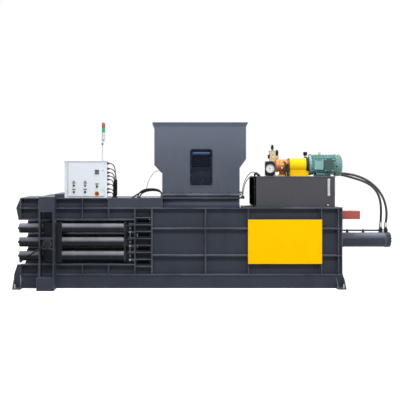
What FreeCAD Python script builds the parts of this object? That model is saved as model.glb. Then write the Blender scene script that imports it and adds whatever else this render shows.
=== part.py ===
"""Recycling baler: a horizontal hydraulic press with a hopper, a bale tunnel and a power unit.

Millimetres. X runs along the machine from the bale tunnel (-X) to the main cylinder (+X), the near
side faces -Y, and Z is up. The origin is on the floor, at the centre of the four anchor holes.
"""
import FreeCAD, Part
import math
import os
import re

import Sketcher
from FreeCAD import Placement, Rotation, Vector

DOC = FreeCAD.newDocument("RecyclingBaler")
SHEET = DOC.addObject("Spreadsheet::Sheet", "Dims")

SIZES = {
    # body and plates
    "body_left": -2700, "body_right": 2780, "half_width": 620, "flange_depth": 130,
    "plate": 16, "skirt_top": 238, "skirt_inset": 30, "low_flange": 556, "high_flange_drop": 355,
    "floor_top": 264, "roof_drop": 58, "top_flange": 1370, "band_height": 170,
    "collar_plate": 28,
    # stations of the side walls' ribs
    "bay_left": -754, "bay_right": -464, "rib_middle": 452, "cover_left": 1180, "cover_right": 2422,
    "tail_column": 70, "bay_rib": 12, "bay_box": 120,
    # wire slots, in the walls and in the ram's face
    "bar_margin": 42, "slot_height": 60, "slot_end_margin": 40,
    # bale tunnel
    "sill_top": 412, "beam_depth": 205, "tunnel_rib_a": -1650, "tunnel_rib_b": -1209,
    "mouth_nose": 70, "mouth_lip": 30, "sill_nose": 51, "skirt_nose": 107,
    # squeeze walls
    "bar_radius": 82, "bar_wall": 12, "bar_left": -2713, "end_plate_x": -932, "end_plate_t": 28,
    "liner_t": 12, "liner_width": 110, "pad_left": -2300, "pad_right": -1990, "pad_t": 24,
    "hinge_x": -836, "knuckle_radius": 50, "knuckle_height": 92, "pin_radius": 25,
    "pin_clearance": 0.05, "lug_t": 30, "lug_gap": 3,
    # squeeze yoke and screws
    "yoke_left": -2344, "yoke_right": -2087, "yoke_front": 1000, "yoke_plate": 24,
    "yoke_foot_height": 221, "yoke_foot_left": -2382, "yoke_gap": 20, "yoke_rise": 26,
    "yoke_head_drop": 53, "tie_left": -2118, "tie_right": -1962, "tie_rise": 66,
    "screw_x": -2200, "screw_radius": 34, "screw_head_radius": 48, "screw_head": 70,
    "screw_clearance": 0.08, "screw_tip_gap": 10, "screw_chamfer": 6, "seat_gap": 0.3,
    "sleeve_radius": 60,
    "sleeve_length": 100, "sleeve_gap": 7, "nut_half": 75, "nut_length": 130,
    "crank_radius": 12, "crank_length": 520, "crank_tilt": 33, "crank_knob": 20,
    # hopper throat
    "throat_left": -266, "throat_right": 1024, "throat_half": 474,
    "seat_rise": 68, "hopper_plate": 10, "hopper_left": -422, "hopper_right": 1150,
    "neck_left": -282, "neck_right": 1040, "hopper_half": 500, "hopper_height": 1223,
    "rim_depth": 72, "rim_flare": 34, "taper_left_rise": 518, "taper_right_rise": 595,
    "taper_drop": 156, "window_left": 193, "window_right": 570, "window_rise": 153,
    "window_height": 613, "window_lower": 277, "window_frame": 34, "window_proud": 22,
    "pane_t": 8, "seat_flange": 28, "seat_flange_t": 16,
    # ram and main cylinder
    "ram_face": 1060, "ram_rear_gap": 20, "ram_gap": 8, "slide_gap": 0.3, "face_slot_depth": 45,
    "ram_face_plate": 60, "ram_plate": 25,
    "tail_half": 275, "tail_height": 144, "tail_end": 3150, "tail_plate": 12,
    "knife_height": 90, "knife_t": 22, "knife_gap": 3,
    "barrel_radius": 130, "barrel_bore": 110, "barrel_end": 3727, "barrel_length": 2119,
    "barrel_cap": 60, "gland_length": 120, "gland_collar": 25, "rod_radius": 75,
    "piston_length": 110, "piston_back_gap": 20, "running": 0.05, "bulkhead_t": 40,
    "bulkhead_flange": 190,
    "bulkhead_flange_t": 36,
    "pipe_radius": 14, "pipe_rise": 34, "port_a": 3568, "port_b": 3656, "port_radius": 32,
    "port_rise": 110, "pipe_inset": 92,
    # tank and power unit
    "tank_left": 1322, "tank_right": 2668, "tank_half": 526, "tank_stand": 12, "tank_height": 525,
    "tank_plate": 8, "tank_rim": 12,
    "drive_y": -120, "shaft_rise": 190, "motor_left": 2277, "motor_right": 2846,
    "motor_radius": 165, "motor_wall": 14, "fin_rise": 23, "fan_cover_length": 118,
    "shaft_radius": 24, "rotor_radius": 105, "motor_flange": 34, "motor_flange_radius": 175,
    "bell_left": 1937, "bell_radius": 128, "bell_wall": 14, "coupling_radius": 62,
    "pump_left": 1692, "pump_radius": 118, "pump_shaft_radius": 19,
    "terminal_left": 2533, "terminal_right": 2673, "terminal_rise": 88, "terminal_height": 212,
    "valve_left": 1596, "valve_width": 96, "valve_height": 438, "valve_half": 55,
    "knob_radius": 19, "gauge_left": 1472, "gauge_right": 1645, "gauge_height": 257,
    "gauge_front": 490, "dial_radius": 80, "dial_depth": 46,
    "level_x": 2562, "level_width": 42, "level_rise": 188, "level_height": 295,
    "manifold_left": 2520, "manifold_right": 2620, "hose_rise": 46, "hose_y_a": 170, "hose_y_b": 250,
    "hose_radius": 21, "outlet_reach": 40, "suction_reach": 40, "suction_radius": 17, "suction_x": 1895,
    "suction_rise": 10, "breather_x": 2270, "breather_y": 200, "breather_height": 430,
    "fin_t": 7, "foot_half": 150, "fan_grille": 60, "terminal_reach": 30, "coupling_reach": 90,
    "coupling_length": 150, "fan_radius": 140, "pump_bore": 80, "knob_b_x": 1726, "knob_b_rise": 355,
    "knob_height": 100, "dial_rise": 133, "dial_dish": 30,
    # side cover
    "cover_under": 418, "cover_drop": 199, "cover_t": 6, "cover_return": 30,
    # control cabinet
    "cabinet_left": -1948, "cabinet_right": -1226, "cabinet_height": 619, "cabinet_front": 600,
    "cabinet_depth": 250, "cabinet_sheet": 4, "door_left": -1882, "door_right": -1272,
    "door_margin": 42, "door_t": 24, "door_gap": 0.3,
    "column_a": -1789, "column_b": -1597, "column_c": -1396, "row_top_rise": 212, "row_low_rise": 100,
    "row_lamp_rise": 440, "button_radius": 15, "bezel_radius": 21, "bezel_rise": 8,
    "button_proud": 14, "stop_radius": 24, "stop_ring": 33, "stop_proud": 34,
    "gland_radius": 16, "gland_reach": 30, "cable_radius": 8,
    "stack_x": -1310, "stack_y": -475, "stack_pole": 10, "stack_module": 30,
    "pole_height": 330, "base_module": 132, "lens_height": 76, "hopper_cable_radius": 11,
    "wire_radius": 4, "tank_wire_radius": 6,
    # anchor feet
    "foot_reach_left": 112, "foot_reach_right": 32, "foot_side": 180, "anchor_inset": 37,
    "anchor_side": 125, "anchor_hole": 13,
    "foot_length": 142, "foot_t": 20, "gusset_t": 14, "gusset_height": 190,
    # small forms of the cylinder, its pipe and the hoses
    "pipe_clearance": 4, "pin_flange": 8, "pin_head_t": 12, "barrel_chamfer": 8, "union_wall": 8,
    "pipe_seat": 40, "port_sink": 8, "ferrule_wall": 5, "port_seat": 50, "manifold_margin": 60,
    "manifold_rise": 45,
    # small forms of the tank
    "level_mount": 16, "level_bolt": 11, "level_bolt_reach": 28, "level_bolt_inset": 26,
    "suction_sink": 25, "collar_wall": 9, "collar_t": 14, "breather_neck": 22, "breather_cap": 36,
    "breather_cap_t": 60, "drain_plug": 18, "drain_shift": 20, "drain_rise": 34,
    # small forms of the motor, bell and pump
    "motor_foot_lead": 120, "motor_foot_tail": 90, "motor_foot_t": 22, "leg_inset": 55, "leg_half": 11,
    "leg_drop": 110, "eye_ring": 17, "eye_bar": 6, "eye_station": 190, "eye_lift": 18, "eye_boss": 16,
    "eye_sink": 3, "eye_boss_rise": 9, "fan_sheet": 4, "fan_bevel": 32, "fan_drop": 42,
    "rotor_gap_front": 30, "rotor_gap_rear": 60, "fan_gap": 20, "fan_end": 68, "coupling_chamfer": 8,
    "bell_mouth": 30, "bell_flange": 12, "bell_foot_inset": 6, "bell_foot_half": 100,
    "bell_foot_sink": 2, "pump_rear_flange": 40, "pump_rear_slope": 20, "pump_waist": 10,
    "pump_front_flange": 50, "pump_chamfer": 14,
    # small forms of the valve block, its knobs and the gauge
    "valve_cap_edge": 6, "valve_cap_t": 10, "valve_side_reach": 30, "valve_side_half": 40,
    "knob_b_more": 3, "knob_neck": 20, "knob_lip": 4, "knob_top": 14, "knob_taper": 0.85,
    "crown_share": 0.6, "gauge_plate_t": 8, "dial_lip": 7, "case_sink": 4, "pivot_radius": 4,
    "hub_radius": 9, "hub_lift": 8, "hub_t": 4, "hand_half": 2, "hand_back": 5, "hand_t": 2,
    "hand_reach": 52, "hand_tail": 18, "hub_bore": 20,
    # small forms of the cabinet and its controls
    "door_overlap": 12, "hinge_out": 10, "hinge_low": 120, "hinge_high": 150, "gate_inset": 15,
    "gate_depth": 20, "hinge_barrel": 8, "hinge_length": 24, "hinge_pin": 3, "leaf_back": 7,
    "leaf_front": 15, "hinge_bore": 60, "selector_drop": 18, "emergency_drop": 25, "button_gap": 0.3,
    "switch_wall": 4, "switch_depth": 34, "switch_floor": 6, "counter_half": 32, "counter_t": 7,
    "counter_rise": 36, "button_sink": 20, "stop_dome": 1, "stop_curve": 5, "stop_side": 18,
    "stop_under": 24, "stop_sink": 16, "selector_back": 8, "selector_stem": 28, "grip_half": 4,
    "grip_reach": 14, "grip_rise": 13,
    # small forms of the stack light
    "stack_shift": 17, "stack_foot": 26, "stack_foot_t": 8, "bracket_half": 12, "bracket_reach": 14,
    "bracket_drop": 8, "bracket_rise": 40, "lens_wall": 4, "lens_cap": 18, "lens_shoulder": 14,
    "lens_lip": 4,
    # cable inlets
    "inlet_left": -1148, "inlet_right": -1050, "inlet_front": 556, "inlet_back": 466, "inlet_t": 14,
    "deck_gland_t": 18, "seat_inlet_front": 518, "seat_inlet_back": 462, "seat_inlet_t": 12,
    "junction_length": 56, "junction_front": 500, "junction_back": 410, "junction_drop": 20,
    "junction_rise": 28, "terminal_gland": 14, "terminal_gland_t": 10, "terminal_gland_inset": 23,
    "terminal_gland_y": 470, "side_gland": 12, "side_gland_reach": 16, "side_gland_y": 440,
    "side_gland_drop": 22, "strip_neck": 22, "strip_side": 4, "strip_drop": 18, "strip_width": 70,
    "strip_near": 440,
}

# sizes that follow from others
TIED = {
    "roof_under": "top_flange - roof_drop", "beam_under": "top_flange - beam_depth",
    "high_flange": "top_flange - high_flange_drop", "cover_top": "top_flange - cover_drop",
    "band_top": "top_flange + band_height", "yoke_head_under": "top_flange - yoke_head_drop",
    "yoke_top": "band_top + yoke_rise", "hopper_seat": "band_top + seat_rise",
    "rim_top": "hopper_seat + hopper_height", "rim_under": "rim_top - rim_depth",
    "taper_left_top": "hopper_seat + taper_left_rise",
    "taper_right_top": "hopper_seat + taper_right_rise",
    "window_under": "hopper_seat + window_rise", "window_split": "window_under + window_lower",
    "window_top": "window_under + window_height", "tank_foot": "top_flange + tank_stand",
    "tank_top": "tank_foot + tank_height", "level_under": "tank_foot + level_rise",
    "level_top": "level_under + level_height", "terminal_under": "tank_top + terminal_rise",
    "terminal_top": "terminal_under + terminal_height", "valve_top": "tank_top + valve_height",
    "gauge_top": "tank_top + gauge_height", "knob_b_z": "tank_top + knob_b_rise",
    "dial_z": "tank_top + dial_rise", "cabinet_top": "band_top + cabinet_height",
    "row_top": "band_top + row_top_rise", "row_low": "band_top + row_low_rise",
    "row_lamp": "band_top + row_lamp_rise",
    "ram_length": "body_right - bulkhead_t - ram_rear_gap - ram_face",
    "pipe_front": "barrel_end - barrel_length + pipe_inset",
    "slot_pitch": "(floor_top + roof_under) / 2 - sill_top - bar_margin - bar_radius - plate",
    "foot_outer_y": "half_width + foot_side", "anchor_y": "half_width + anchor_side",
}
CELLS = {alias: str(number) for alias, number in SIZES.items()}
CELLS.update({alias: "=" + expression for alias, expression in TIED.items()})

for row, (alias, content) in enumerate(CELLS.items(), start=1):
    SHEET.set(f"A{row}", alias)
    SHEET.set(f"B{row}", content)
    SHEET.setAlias(f"B{row}", alias)
DOC.recompute()

WORD = re.compile(r"[A-Za-z_]\w*")
UPRIGHT = {
    "X": Rotation(Vector(0, 0, 1), Vector(1, 0, 0)),
    "Y": Rotation(Vector(0, 0, 1), Vector(0, 1, 0)),
    "Z": Rotation(),
}
PARTS = []


def linked(expression):
    """An expression with the sheet's name before each of its sizes."""
    return WORD.sub(lambda m: "Dims." + m.group() if m.group() in CELLS else m.group(), str(expression))


def value(expression):
    """The number that an expression gives now."""
    return float(SHEET.evalExpression(linked(expression)))


def bind(obj, prop, expression):
    obj.setExpression(prop, linked(expression))


def place(obj, point, turn=None):
    """Puts an object at a point of three expressions, turned if asked."""
    obj.Placement = Placement(Vector(), turn or Rotation())
    for axis, expression in zip("xyz", point):
        bind(obj, "Placement.Base." + axis, expression)


def box(name, x, y, z):
    """A box between two stations on each axis."""
    made = DOC.addObject("Part::Box", name)
    for prop, (low, high) in zip(("Length", "Width", "Height"), (x, y, z)):
        bind(made, prop, f"({high}) - ({low})")
    place(made, (x[0], y[0], z[0]))
    return made


def rod(name, axis, radius, start, length):
    """A round bar from a starting point along an axis."""
    made = DOC.addObject("Part::Cylinder", name)
    bind(made, "Radius", radius)
    bind(made, "Height", length)
    place(made, start, UPRIGHT[axis])
    return made


def cone(name, axis, low_radius, high_radius, start, length):
    made = DOC.addObject("Part::Cone", name)
    bind(made, "Radius1", low_radius)
    bind(made, "Radius2", high_radius)
    bind(made, "Height", length)
    place(made, start, UPRIGHT[axis])
    return made


def fuse(name, parts):
    made = DOC.addObject("Part::MultiFuse", name)
    made.Shapes = list(parts)
    made.Refine = True
    return made


def cut(name, base, tools):
    """The base without the tools."""
    made = DOC.addObject("Part::Cut", name)
    made.Base = base
    tools = list(tools)
    made.Tool = tools[0] if len(tools) == 1 else fuse(name + "_tools", tools)
    made.Refine = True
    return made


def mirrored(name, source):
    """The far-side copy of a near-side form."""
    made = DOC.addObject("Part::Mirroring", name)
    made.Source = source
    made.Normal = (0, 1, 0)
    return made


def grouped(name, parts):
    """Several like pieces in one compound."""
    made = DOC.addObject("Part::Compound", name)
    made.Links = list(parts)
    return made


def node(label, obj):
    """Registers a finished sub-part under its label."""
    obj.Label = label
    PARTS.append(obj)
    return obj


def outline(body, plane, points):
    """A closed polygon on one of the body's own planes, each corner bound to the sheet."""
    sketch = body.newObject("Sketcher::SketchObject", body.Name + "_outline")
    own = next(f for f in body.Origin.OriginFeatures if f.Role == plane)
    sketch.AttachmentSupport = [(own, "")]
    sketch.MapMode = "FlatFace"
    spots = [Vector(value(a), value(b), 0) for a, b in points]
    for start, end in zip(spots, spots[1:] + spots[:1]):
        sketch.addGeometry(Part.LineSegment(start, end), False)
    for i in range(len(points)):
        sketch.addConstraint(Sketcher.Constraint("Coincident", i, 2, (i + 1) % len(points), 1))
    for i, corner in enumerate(points):
        for kind, expression in zip(("DistanceX", "DistanceY"), corner):
            made = sketch.addConstraint(Sketcher.Constraint(kind, -1, 1, i, 1, value(expression)))
            bind(sketch, f"Constraints[{made}]", expression)
    return sketch


def padded(name, plane, points, length, start=("0", "0", "0")):
    """A flat piece: a polygon on a plane, given a thickness. XZ pads run towards -Y."""
    body = DOC.addObject("PartDesign::Body", name)
    pad = body.newObject("PartDesign::Pad", name + "_pad")
    pad.Profile = outline(body, plane, points)
    bind(pad, "Length", length)
    body.Tip = pad
    place(body, start)
    return body


def turned(name, axis, start, points):
    """A turned piece: a profile of stations along the axis and radii, spun round the axis."""
    body = DOC.addObject("PartDesign::Body", name)
    spin = body.newObject("PartDesign::Revolution", name + "_turn")
    spin.Profile = outline(body, "XY_Plane", points)
    spin.ReferenceAxis = (spin.Profile[0], ["H_Axis"])
    spin.Angle = 360
    body.Tip = spin
    turns = {"X": Rotation(), "Y": Rotation(Vector(0, 0, 1), 90), "Z": Rotation(Vector(0, 1, 0), -90)}
    place(body, start, turns[axis])
    return body


def ring_profile(length, outer, inner, start="0"):
    """The profile of a plain tube for turned()."""
    end = f"({start}) + ({length})"
    return [(start, inner), (end, inner), (end, outer), (start, outer)]


# Faces that several pieces share
WEB_OUT = "(half_width - flange_depth)"
WEB_IN = "(half_width - flange_depth - plate)"
SKIRT_OUT = "(half_width - skirt_inset)"
WALL_LEFT = "(bay_left - plate / 2)"
BULKHEAD = "(body_right - bulkhead_t)"
RAM_Z = "((floor_top + roof_under) / 2)"
RAM_TOP = "(roof_under - ram_gap)"
RAM_REAR = "(ram_face + ram_length)"
HINGE_Y = f"({WEB_IN} + liner_t + bar_radius)"
SLOT_LEVELS = [f"({RAM_Z} + {step} * slot_pitch / 2)" for step in (-3, -1, 1, 3)]
BAR_LEVELS = [f"({RAM_Z} + {step} * slot_pitch)" for step in (-1, 0, 1)]


def minus(*words):
    return tuple(f"-({word})" for word in words)


def near(low, high):
    """A band of depth on the near side, from its outer to its inner distance from the middle."""
    return minus(high, low)


def both(half):
    """A band of depth across the machine."""
    return (f"-({half})", half)


# ---------------------------------------------------------------- base frame
FOOT_TIPS = {-1: "(body_left - foot_reach_left)", 1: "(body_right + foot_reach_right)"}
CROSS_GAPS = 8
ROOF_GAPS = 5


def foot(end):
    """One near-side anchor foot: base plate with its hole, two ribs and an end gusset."""
    out = FOOT_TIPS[end]
    inner = f"{out} + {-end} * foot_length"
    x = (out, inner) if end < 0 else (inner, out)
    plate = box("foot_plate", x, near(SKIRT_OUT, "foot_outer_y"), ("0", "foot_t"))
    hole = rod("anchor_hole", "Z", "anchor_hole", (f"{out} + {-end} * anchor_inset", "-anchor_y", "-1"),
               "foot_t + 2")
    ribs = []
    for station in (x[0], f"{x[1]} - gusset_t"):
        slope = [("-foot_outer_y", "foot_t"), (f"-{SKIRT_OUT}", "foot_t"),
                 (f"-{SKIRT_OUT}", "gusset_height")]
        ribs.append(padded("foot_rib", "YZ_Plane", slope, "gusset_t", (station, "0", "0")))
    return cut("anchor_foot", fuse("foot_weldment", [plate] + ribs), [hole])


def nose(name, points, depth_low, depth_high):
    """An upright end plate in the XZ plane between two depths of the near side."""
    return padded(name, "XZ_Plane", points, f"({depth_high}) - ({depth_low})",
                  ("0", f"-({depth_low})", "0"))


def base_side():
    """The near half of the base: skirt, its flange, the tunnel's sill and the two feet."""
    whole = ("body_left", "body_right")
    tunnel = ("body_left", WALL_LEFT)
    parts = [
        box("skirt", whole, near(f"{SKIRT_OUT} - plate", SKIRT_OUT), ("0", "skirt_top - plate")),
        box("skirt_flange", whole, near(WEB_IN, "half_width"), ("skirt_top - plate", "skirt_top")),
        box("sill_web", tunnel, near(WEB_IN, WEB_OUT), ("skirt_top", "sill_top - plate")),
        box("sill_flange", tunnel, near(WEB_IN, "half_width"), ("sill_top - plate", "sill_top")),
    ]
    for station in ("body_left", "tunnel_rib_a", "tunnel_rib_b"):
        parts.append(box("sill_rib", (station, f"{station} + plate"), near(WEB_OUT, "half_width"),
                         ("skirt_top", "sill_top - plate")))
    left = [("body_left", "0"), (FOOT_TIPS[-1], "0"), ("body_left - skirt_nose", "skirt_top"),
            ("body_left - sill_nose", "sill_top"), ("body_left", "sill_top")]
    right = [("body_right", "0"), (FOOT_TIPS[1], "0"), ("body_right + plate", "skirt_top"),
             ("body_right", "skirt_top")]
    parts.append(nose("left_nose", left, "half_width - plate", "half_width"))
    parts.append(nose("right_nose", right, f"{SKIRT_OUT} - plate", SKIRT_OUT))
    return fuse("base_side", parts + [foot(-1), foot(1)])


def base_frame():
    side = base_side()
    inner = f"({SKIRT_OUT} - plate)"
    parts = [side, mirrored("base_far_side", side)]
    for i in range(CROSS_GAPS + 1):
        station = f"(body_left + {i} * (body_right - body_left - plate * 6) / {CROSS_GAPS})"
        parts.append(box("cross_beam", (station, f"{station} + plate * 6"), both(inner),
                         ("0", "skirt_top - plate")))
        parts.append(box("cross_cap", (station, f"{station} + plate * 6"), both(WEB_IN),
                         ("skirt_top - plate", "skirt_top")))
    return node("base_frame", fuse("base_weldment", parts))


base_frame()
node("floor_plate", box("floor_sheet", ("body_left", BULKHEAD), both(WEB_IN), ("skirt_top", "floor_top")))


# ---------------------------------------------------------------- side walls
def hinge_lug(level, rise):
    """One flat lug that holds the hinge pin, above or below a bar's knuckle."""
    low = f"({level} + {rise} * (knuckle_height / 2 + lug_gap + lug_t / 2) - lug_t / 2)"
    z = (low, f"{low} + lug_t")
    arm = box("lug_arm", ("hinge_x", WALL_LEFT),
              near(f"{HINGE_Y} - knuckle_radius", f"{HINGE_Y} + knuckle_radius"), z)
    eye = rod("lug_eye", "Z", "knuckle_radius", ("hinge_x", f"-{HINGE_Y}", low), "lug_t")
    return fuse("hinge_lug", [arm, eye])


def near_wall():
    """The press box's side: web, four flanges' edges, upright ribs and the ladder bay."""
    height = ("skirt_top", "top_flange - plate")
    edge = near(WEB_OUT, "half_width")
    parts = [
        box("web", (WALL_LEFT, BULKHEAD), near(WEB_IN, WEB_OUT), height),
        box("web_edge", ("hinge_x - knuckle_radius", WALL_LEFT), near(WEB_IN, WEB_OUT),
            ("sill_top", "beam_under")),
        box("top_flange_strip", (WALL_LEFT, "body_right"), near(WEB_IN, "half_width"),
            ("top_flange - plate", "top_flange")),
        box("tail_web", (BULKHEAD, "body_right"), near(WEB_IN, WEB_OUT), height),
        box("tail_column_face", ("body_right - tail_column", "body_right"),
            near("half_width - flange_depth / 2 - plate", "half_width - flange_depth / 2"), height),
    ]
    for level in ("low_flange", "high_flange"):
        parts.append(box("middle_flange", ("bay_right", "body_right"), edge,
                         (f"{level} - plate / 2", f"{level} + plate / 2")))
    stations = ["bay_left", "bay_right", "rib_middle", "cover_left", "cover_right"]
    for station in stations + ["body_right - tail_column", "body_right - plate / 2"]:
        parts.append(box("upright_rib", (f"{station} - plate / 2", f"{station} + plate / 2"), edge, height))
    slots = []
    for level in SLOT_LEVELS:
        for step in (-1, 1):
            middle = f"({level} + {step} * bay_box / 2)"
            parts.append(box("bay_rib", ("bay_left", "bay_right"), edge,
                             (f"{middle} - bay_rib / 2", f"{middle} + bay_rib / 2")))
        slots.append(box("wire_slot", ("bay_left + slot_end_margin", "bay_right - slot_end_margin"),
                         near(f"{WEB_IN} - 1", f"{WEB_OUT} + 1"),
                         (f"{level} - slot_height / 2", f"{level} + slot_height / 2")))
    for level in BAR_LEVELS:
        parts += [hinge_lug(level, -1), hinge_lug(level, 1)]
    pin = rod("pin_hole", "Z", "pin_radius + pin_clearance", ("hinge_x", f"-{HINGE_Y}", "skirt_top"),
              "top_flange - skirt_top")
    return node("near_wall", cut("near_wall_cut", fuse("near_wall_weldment", parts), slots + [pin]))


NEAR_WALL = near_wall()
node("far_wall", mirrored("far_wall_copy", NEAR_WALL))

# the bulkhead closes the rear of the press box and carries the main cylinder
BARREL_TOP = f"({RAM_Z} + barrel_radius)"
PIPE_Z = f"({BARREL_TOP} + pipe_rise)"
TAIL_UNDER = f"({RAM_TOP} - tail_height)"


def rear_bulkhead():
    wall = box("bulkhead_plate", (BULKHEAD, "body_right"), both(WEB_IN),
               ("skirt_top", "top_flange - plate"))
    tail = box("tail_gate", (f"{BULKHEAD} - 1", "body_right + 1"), both("tail_half + ram_gap"),
               (f"{TAIL_UNDER} - ram_gap", "roof_under"))
    hole = rod("barrel_hole", "X", "barrel_radius", (f"{BULKHEAD} - 1", "0", RAM_Z), "bulkhead_t + 2")
    pipe = rod("pipe_hole", "X", "pipe_radius + pipe_clearance", (f"{BULKHEAD} - 1", "0", PIPE_Z),
               "bulkhead_t + 2")
    return node("rear_bulkhead", cut("bulkhead", wall, [tail, hole, pipe]))


rear_bulkhead()


# ---------------------------------------------------------------- roof and tunnel beams
def roof_deck():
    """The roof, the upper band over the tunnel, the throat under the hopper and the tank's deck."""
    roof = ("roof_under", "roof_under + plate")
    band = ("top_flange", "band_top - plate")
    throat_x = ("throat_left - plate", "throat_right + plate")
    collar = "(band_top - collar_plate / 2)"
    band_right = "throat_left - plate"
    parts = [
        box("tunnel_roof", ("body_left", "throat_left"), both(WEB_IN), roof),
        box("ram_roof", ("throat_right", BULKHEAD), both(WEB_IN), roof),
        box("throat_front", ("throat_left - plate", "throat_left"), both(WEB_IN),
            ("roof_under", "top_flange")),
        box("throat_back", ("throat_right", "throat_right + plate"), both(WEB_IN),
            ("roof_under", "top_flange")),
        cut("throat_ring", fuse("throat_solid", [
            box("throat_block", throat_x, both(WEB_OUT), ("top_flange", "hopper_seat - seat_flange_t")),
            box("throat_collar", (f"{throat_x[0]} - seat_flange", f"{throat_x[1]} + seat_flange"),
                both("half_width - plate"), (collar, f"{collar} + collar_plate")),
        ]), [box("throat_void", ("throat_left", "throat_right"), both("throat_half"),
                 ("roof_under", "hopper_seat"))]),
        box("tank_deck", ("throat_right + plate", "body_right"), both("half_width"),
            ("top_flange", "tank_foot")),
        box("band_cap", ("body_left", band_right), both("half_width"), ("band_top - plate", "band_top")),
    ]
    for side in (near, lambda low, high: (low, high)):
        parts.append(box("band_face", ("tunnel_rib_b", band_right),
                         side("half_width - plate", "half_width"), band))
        parts.append(box("band_web", ("body_left", "tunnel_rib_b + plate"), side(WEB_IN, WEB_OUT), band))
        for station in ("body_left", "tunnel_rib_a", "tunnel_rib_b"):
            parts.append(box("band_rib", (station, f"{station} + plate"), side(WEB_OUT, "half_width"),
                             band))
    for station in ("body_left", "tunnel_rib_a", "tunnel_rib_b", "bay_left", "throat_left - plate * 2"):
        parts.append(box("band_cross", (station, f"{station} + plate"), both(WEB_IN),
                         ("roof_under + plate", "band_top - plate")))
    for i in range(1, 5):
        station = f"(throat_right + {i} * ({BULKHEAD} - throat_right) / {ROOF_GAPS})"
        parts.append(box("deck_cross", (station, f"{station} + plate"), both(WEB_IN),
                         ("roof_under + plate", "top_flange")))
    return node("roof_deck", fuse("roof_weldment", parts))


roof_deck()


def tunnel_beam():
    """The near top beam of the bale tunnel: a channel with ribs, and a pointed plate at the mouth."""
    length = ("body_left", WALL_LEFT)
    parts = [
        box("beam_web", length, near(WEB_IN, WEB_OUT), ("beam_under", "top_flange")),
        box("beam_foot", length, near(WEB_IN, "half_width"), ("beam_under", "beam_under + plate")),
        box("beam_head", length, near(WEB_IN, "half_width"), ("top_flange - plate", "top_flange")),
    ]
    for station in ("body_left", "tunnel_rib_a", "tunnel_rib_b"):
        parts.append(box("beam_rib", (station, f"{station} + plate"), near(WEB_OUT, "half_width"),
                         ("beam_under", "top_flange")))
    point = [("body_left", "beam_under"), ("body_left - mouth_lip", "beam_under"),
             ("body_left - mouth_nose", "top_flange"), ("body_left", "band_top")]
    parts.append(nose("mouth_plate", point, "half_width - plate", "half_width"))
    return fuse("tunnel_beam", parts)


NEAR_BEAM = tunnel_beam()
node("tunnel_beams", grouped("tunnel_beam_pair", [NEAR_BEAM, mirrored("far_tunnel_beam", NEAR_BEAM)]))


# ---------------------------------------------------------------- squeeze walls
PAD_FACE = f"({HINGE_Y} + bar_radius + pad_t)"


def squeeze_wall():
    """The near tension wall: three round bars on an end plate, with knuckles, liners and a thrust pad."""
    inner = f"({WEB_IN} + liner_t)"
    plate_x = ("end_plate_x", "end_plate_x + end_plate_t")
    span = (f"({BAR_LEVELS[0]} - bar_radius - plate)", f"({BAR_LEVELS[2]} + bar_radius + plate)")
    parts = [box("end_plate", plate_x, near(WEB_IN, f"{HINGE_Y} + bar_radius"), span),
             box("thrust_pad", ("pad_left", "pad_right"),
                 near(f"{HINGE_Y} + bar_radius - plate / 2", f"{HINGE_Y} + bar_radius + pad_t"), span),
             rod("pad_sleeve", "Y", "sleeve_radius", ("screw_x", f"-{PAD_FACE} - sleeve_length", RAM_Z),
                 "sleeve_length")]
    holes = [rod("sleeve_bore", "Y", "screw_radius + sleeve_gap",
                 ("screw_x", f"-{PAD_FACE} - sleeve_length - 1", RAM_Z),
                 "sleeve_length + 1")]
    for level in BAR_LEVELS:
        centre = f"-{HINGE_Y}"
        parts.append(rod("bar", "X", "bar_radius", ("bar_left", centre, level), "end_plate_x - bar_left"))
        holes.append(rod("bar_bore", "X", "bar_radius - bar_wall", ("bar_left - 1", centre, level),
                         "end_plate_x - bar_left + 1"))
        parts.append(box("liner", ("bar_left", "end_plate_x"), near(WEB_IN, f"{inner} + bar_wall / 2"),
                         (f"{level} - liner_width / 2", f"{level} + liner_width / 2")))
        low = f"({level} - knuckle_height / 2)"
        parts.append(rod("knuckle", "Z", "knuckle_radius", ("hinge_x", centre, low), "knuckle_height"))
        parts.append(box("knuckle_arm", (plate_x[1], "hinge_x"),
                         near(f"{HINGE_Y} - knuckle_radius / 2", f"{HINGE_Y} + knuckle_radius / 2"),
                         (low, f"{low} + knuckle_height")))
    holes.append(rod("knuckle_bore", "Z", "pin_radius + pin_clearance",
                     ("hinge_x", f"-{HINGE_Y}", "skirt_top"),
                     "top_flange - skirt_top"))
    return cut("squeeze_wall", fuse("squeeze_weldment", parts), holes)


NEAR_SQUEEZE = squeeze_wall()
node("near_squeeze_wall", NEAR_SQUEEZE)
node("far_squeeze_wall", mirrored("far_squeeze_copy", NEAR_SQUEEZE))


def hinge_pin():
    """A headed pin through the lugs and knuckles of one squeeze wall."""
    reach = "(knuckle_height / 2 + lug_gap + lug_t)"
    low = f"({BAR_LEVELS[0]} - {reach} - plate)"
    high = f"({BAR_LEVELS[2]} + {reach})"
    centre = f"-{HINGE_Y}"
    shank = rod("pin_shank", "Z", "pin_radius", ("hinge_x", centre, low), f"{high} - {low}")
    head = rod("pin_head", "Z", "pin_radius + pin_flange", ("hinge_x", centre, high), "pin_head_t")
    return fuse("hinge_pin", [shank, head])


NEAR_PIN = hinge_pin()
node("hinge_pins", grouped("hinge_pin_pair", [NEAR_PIN, mirrored("far_hinge_pin", NEAR_PIN)]))

# ---------------------------------------------------------------- squeeze yoke and screws
NUT_REAR = "(yoke_front - nut_length)"
POST_IN = f"({PAD_FACE} + yoke_gap)"


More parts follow.
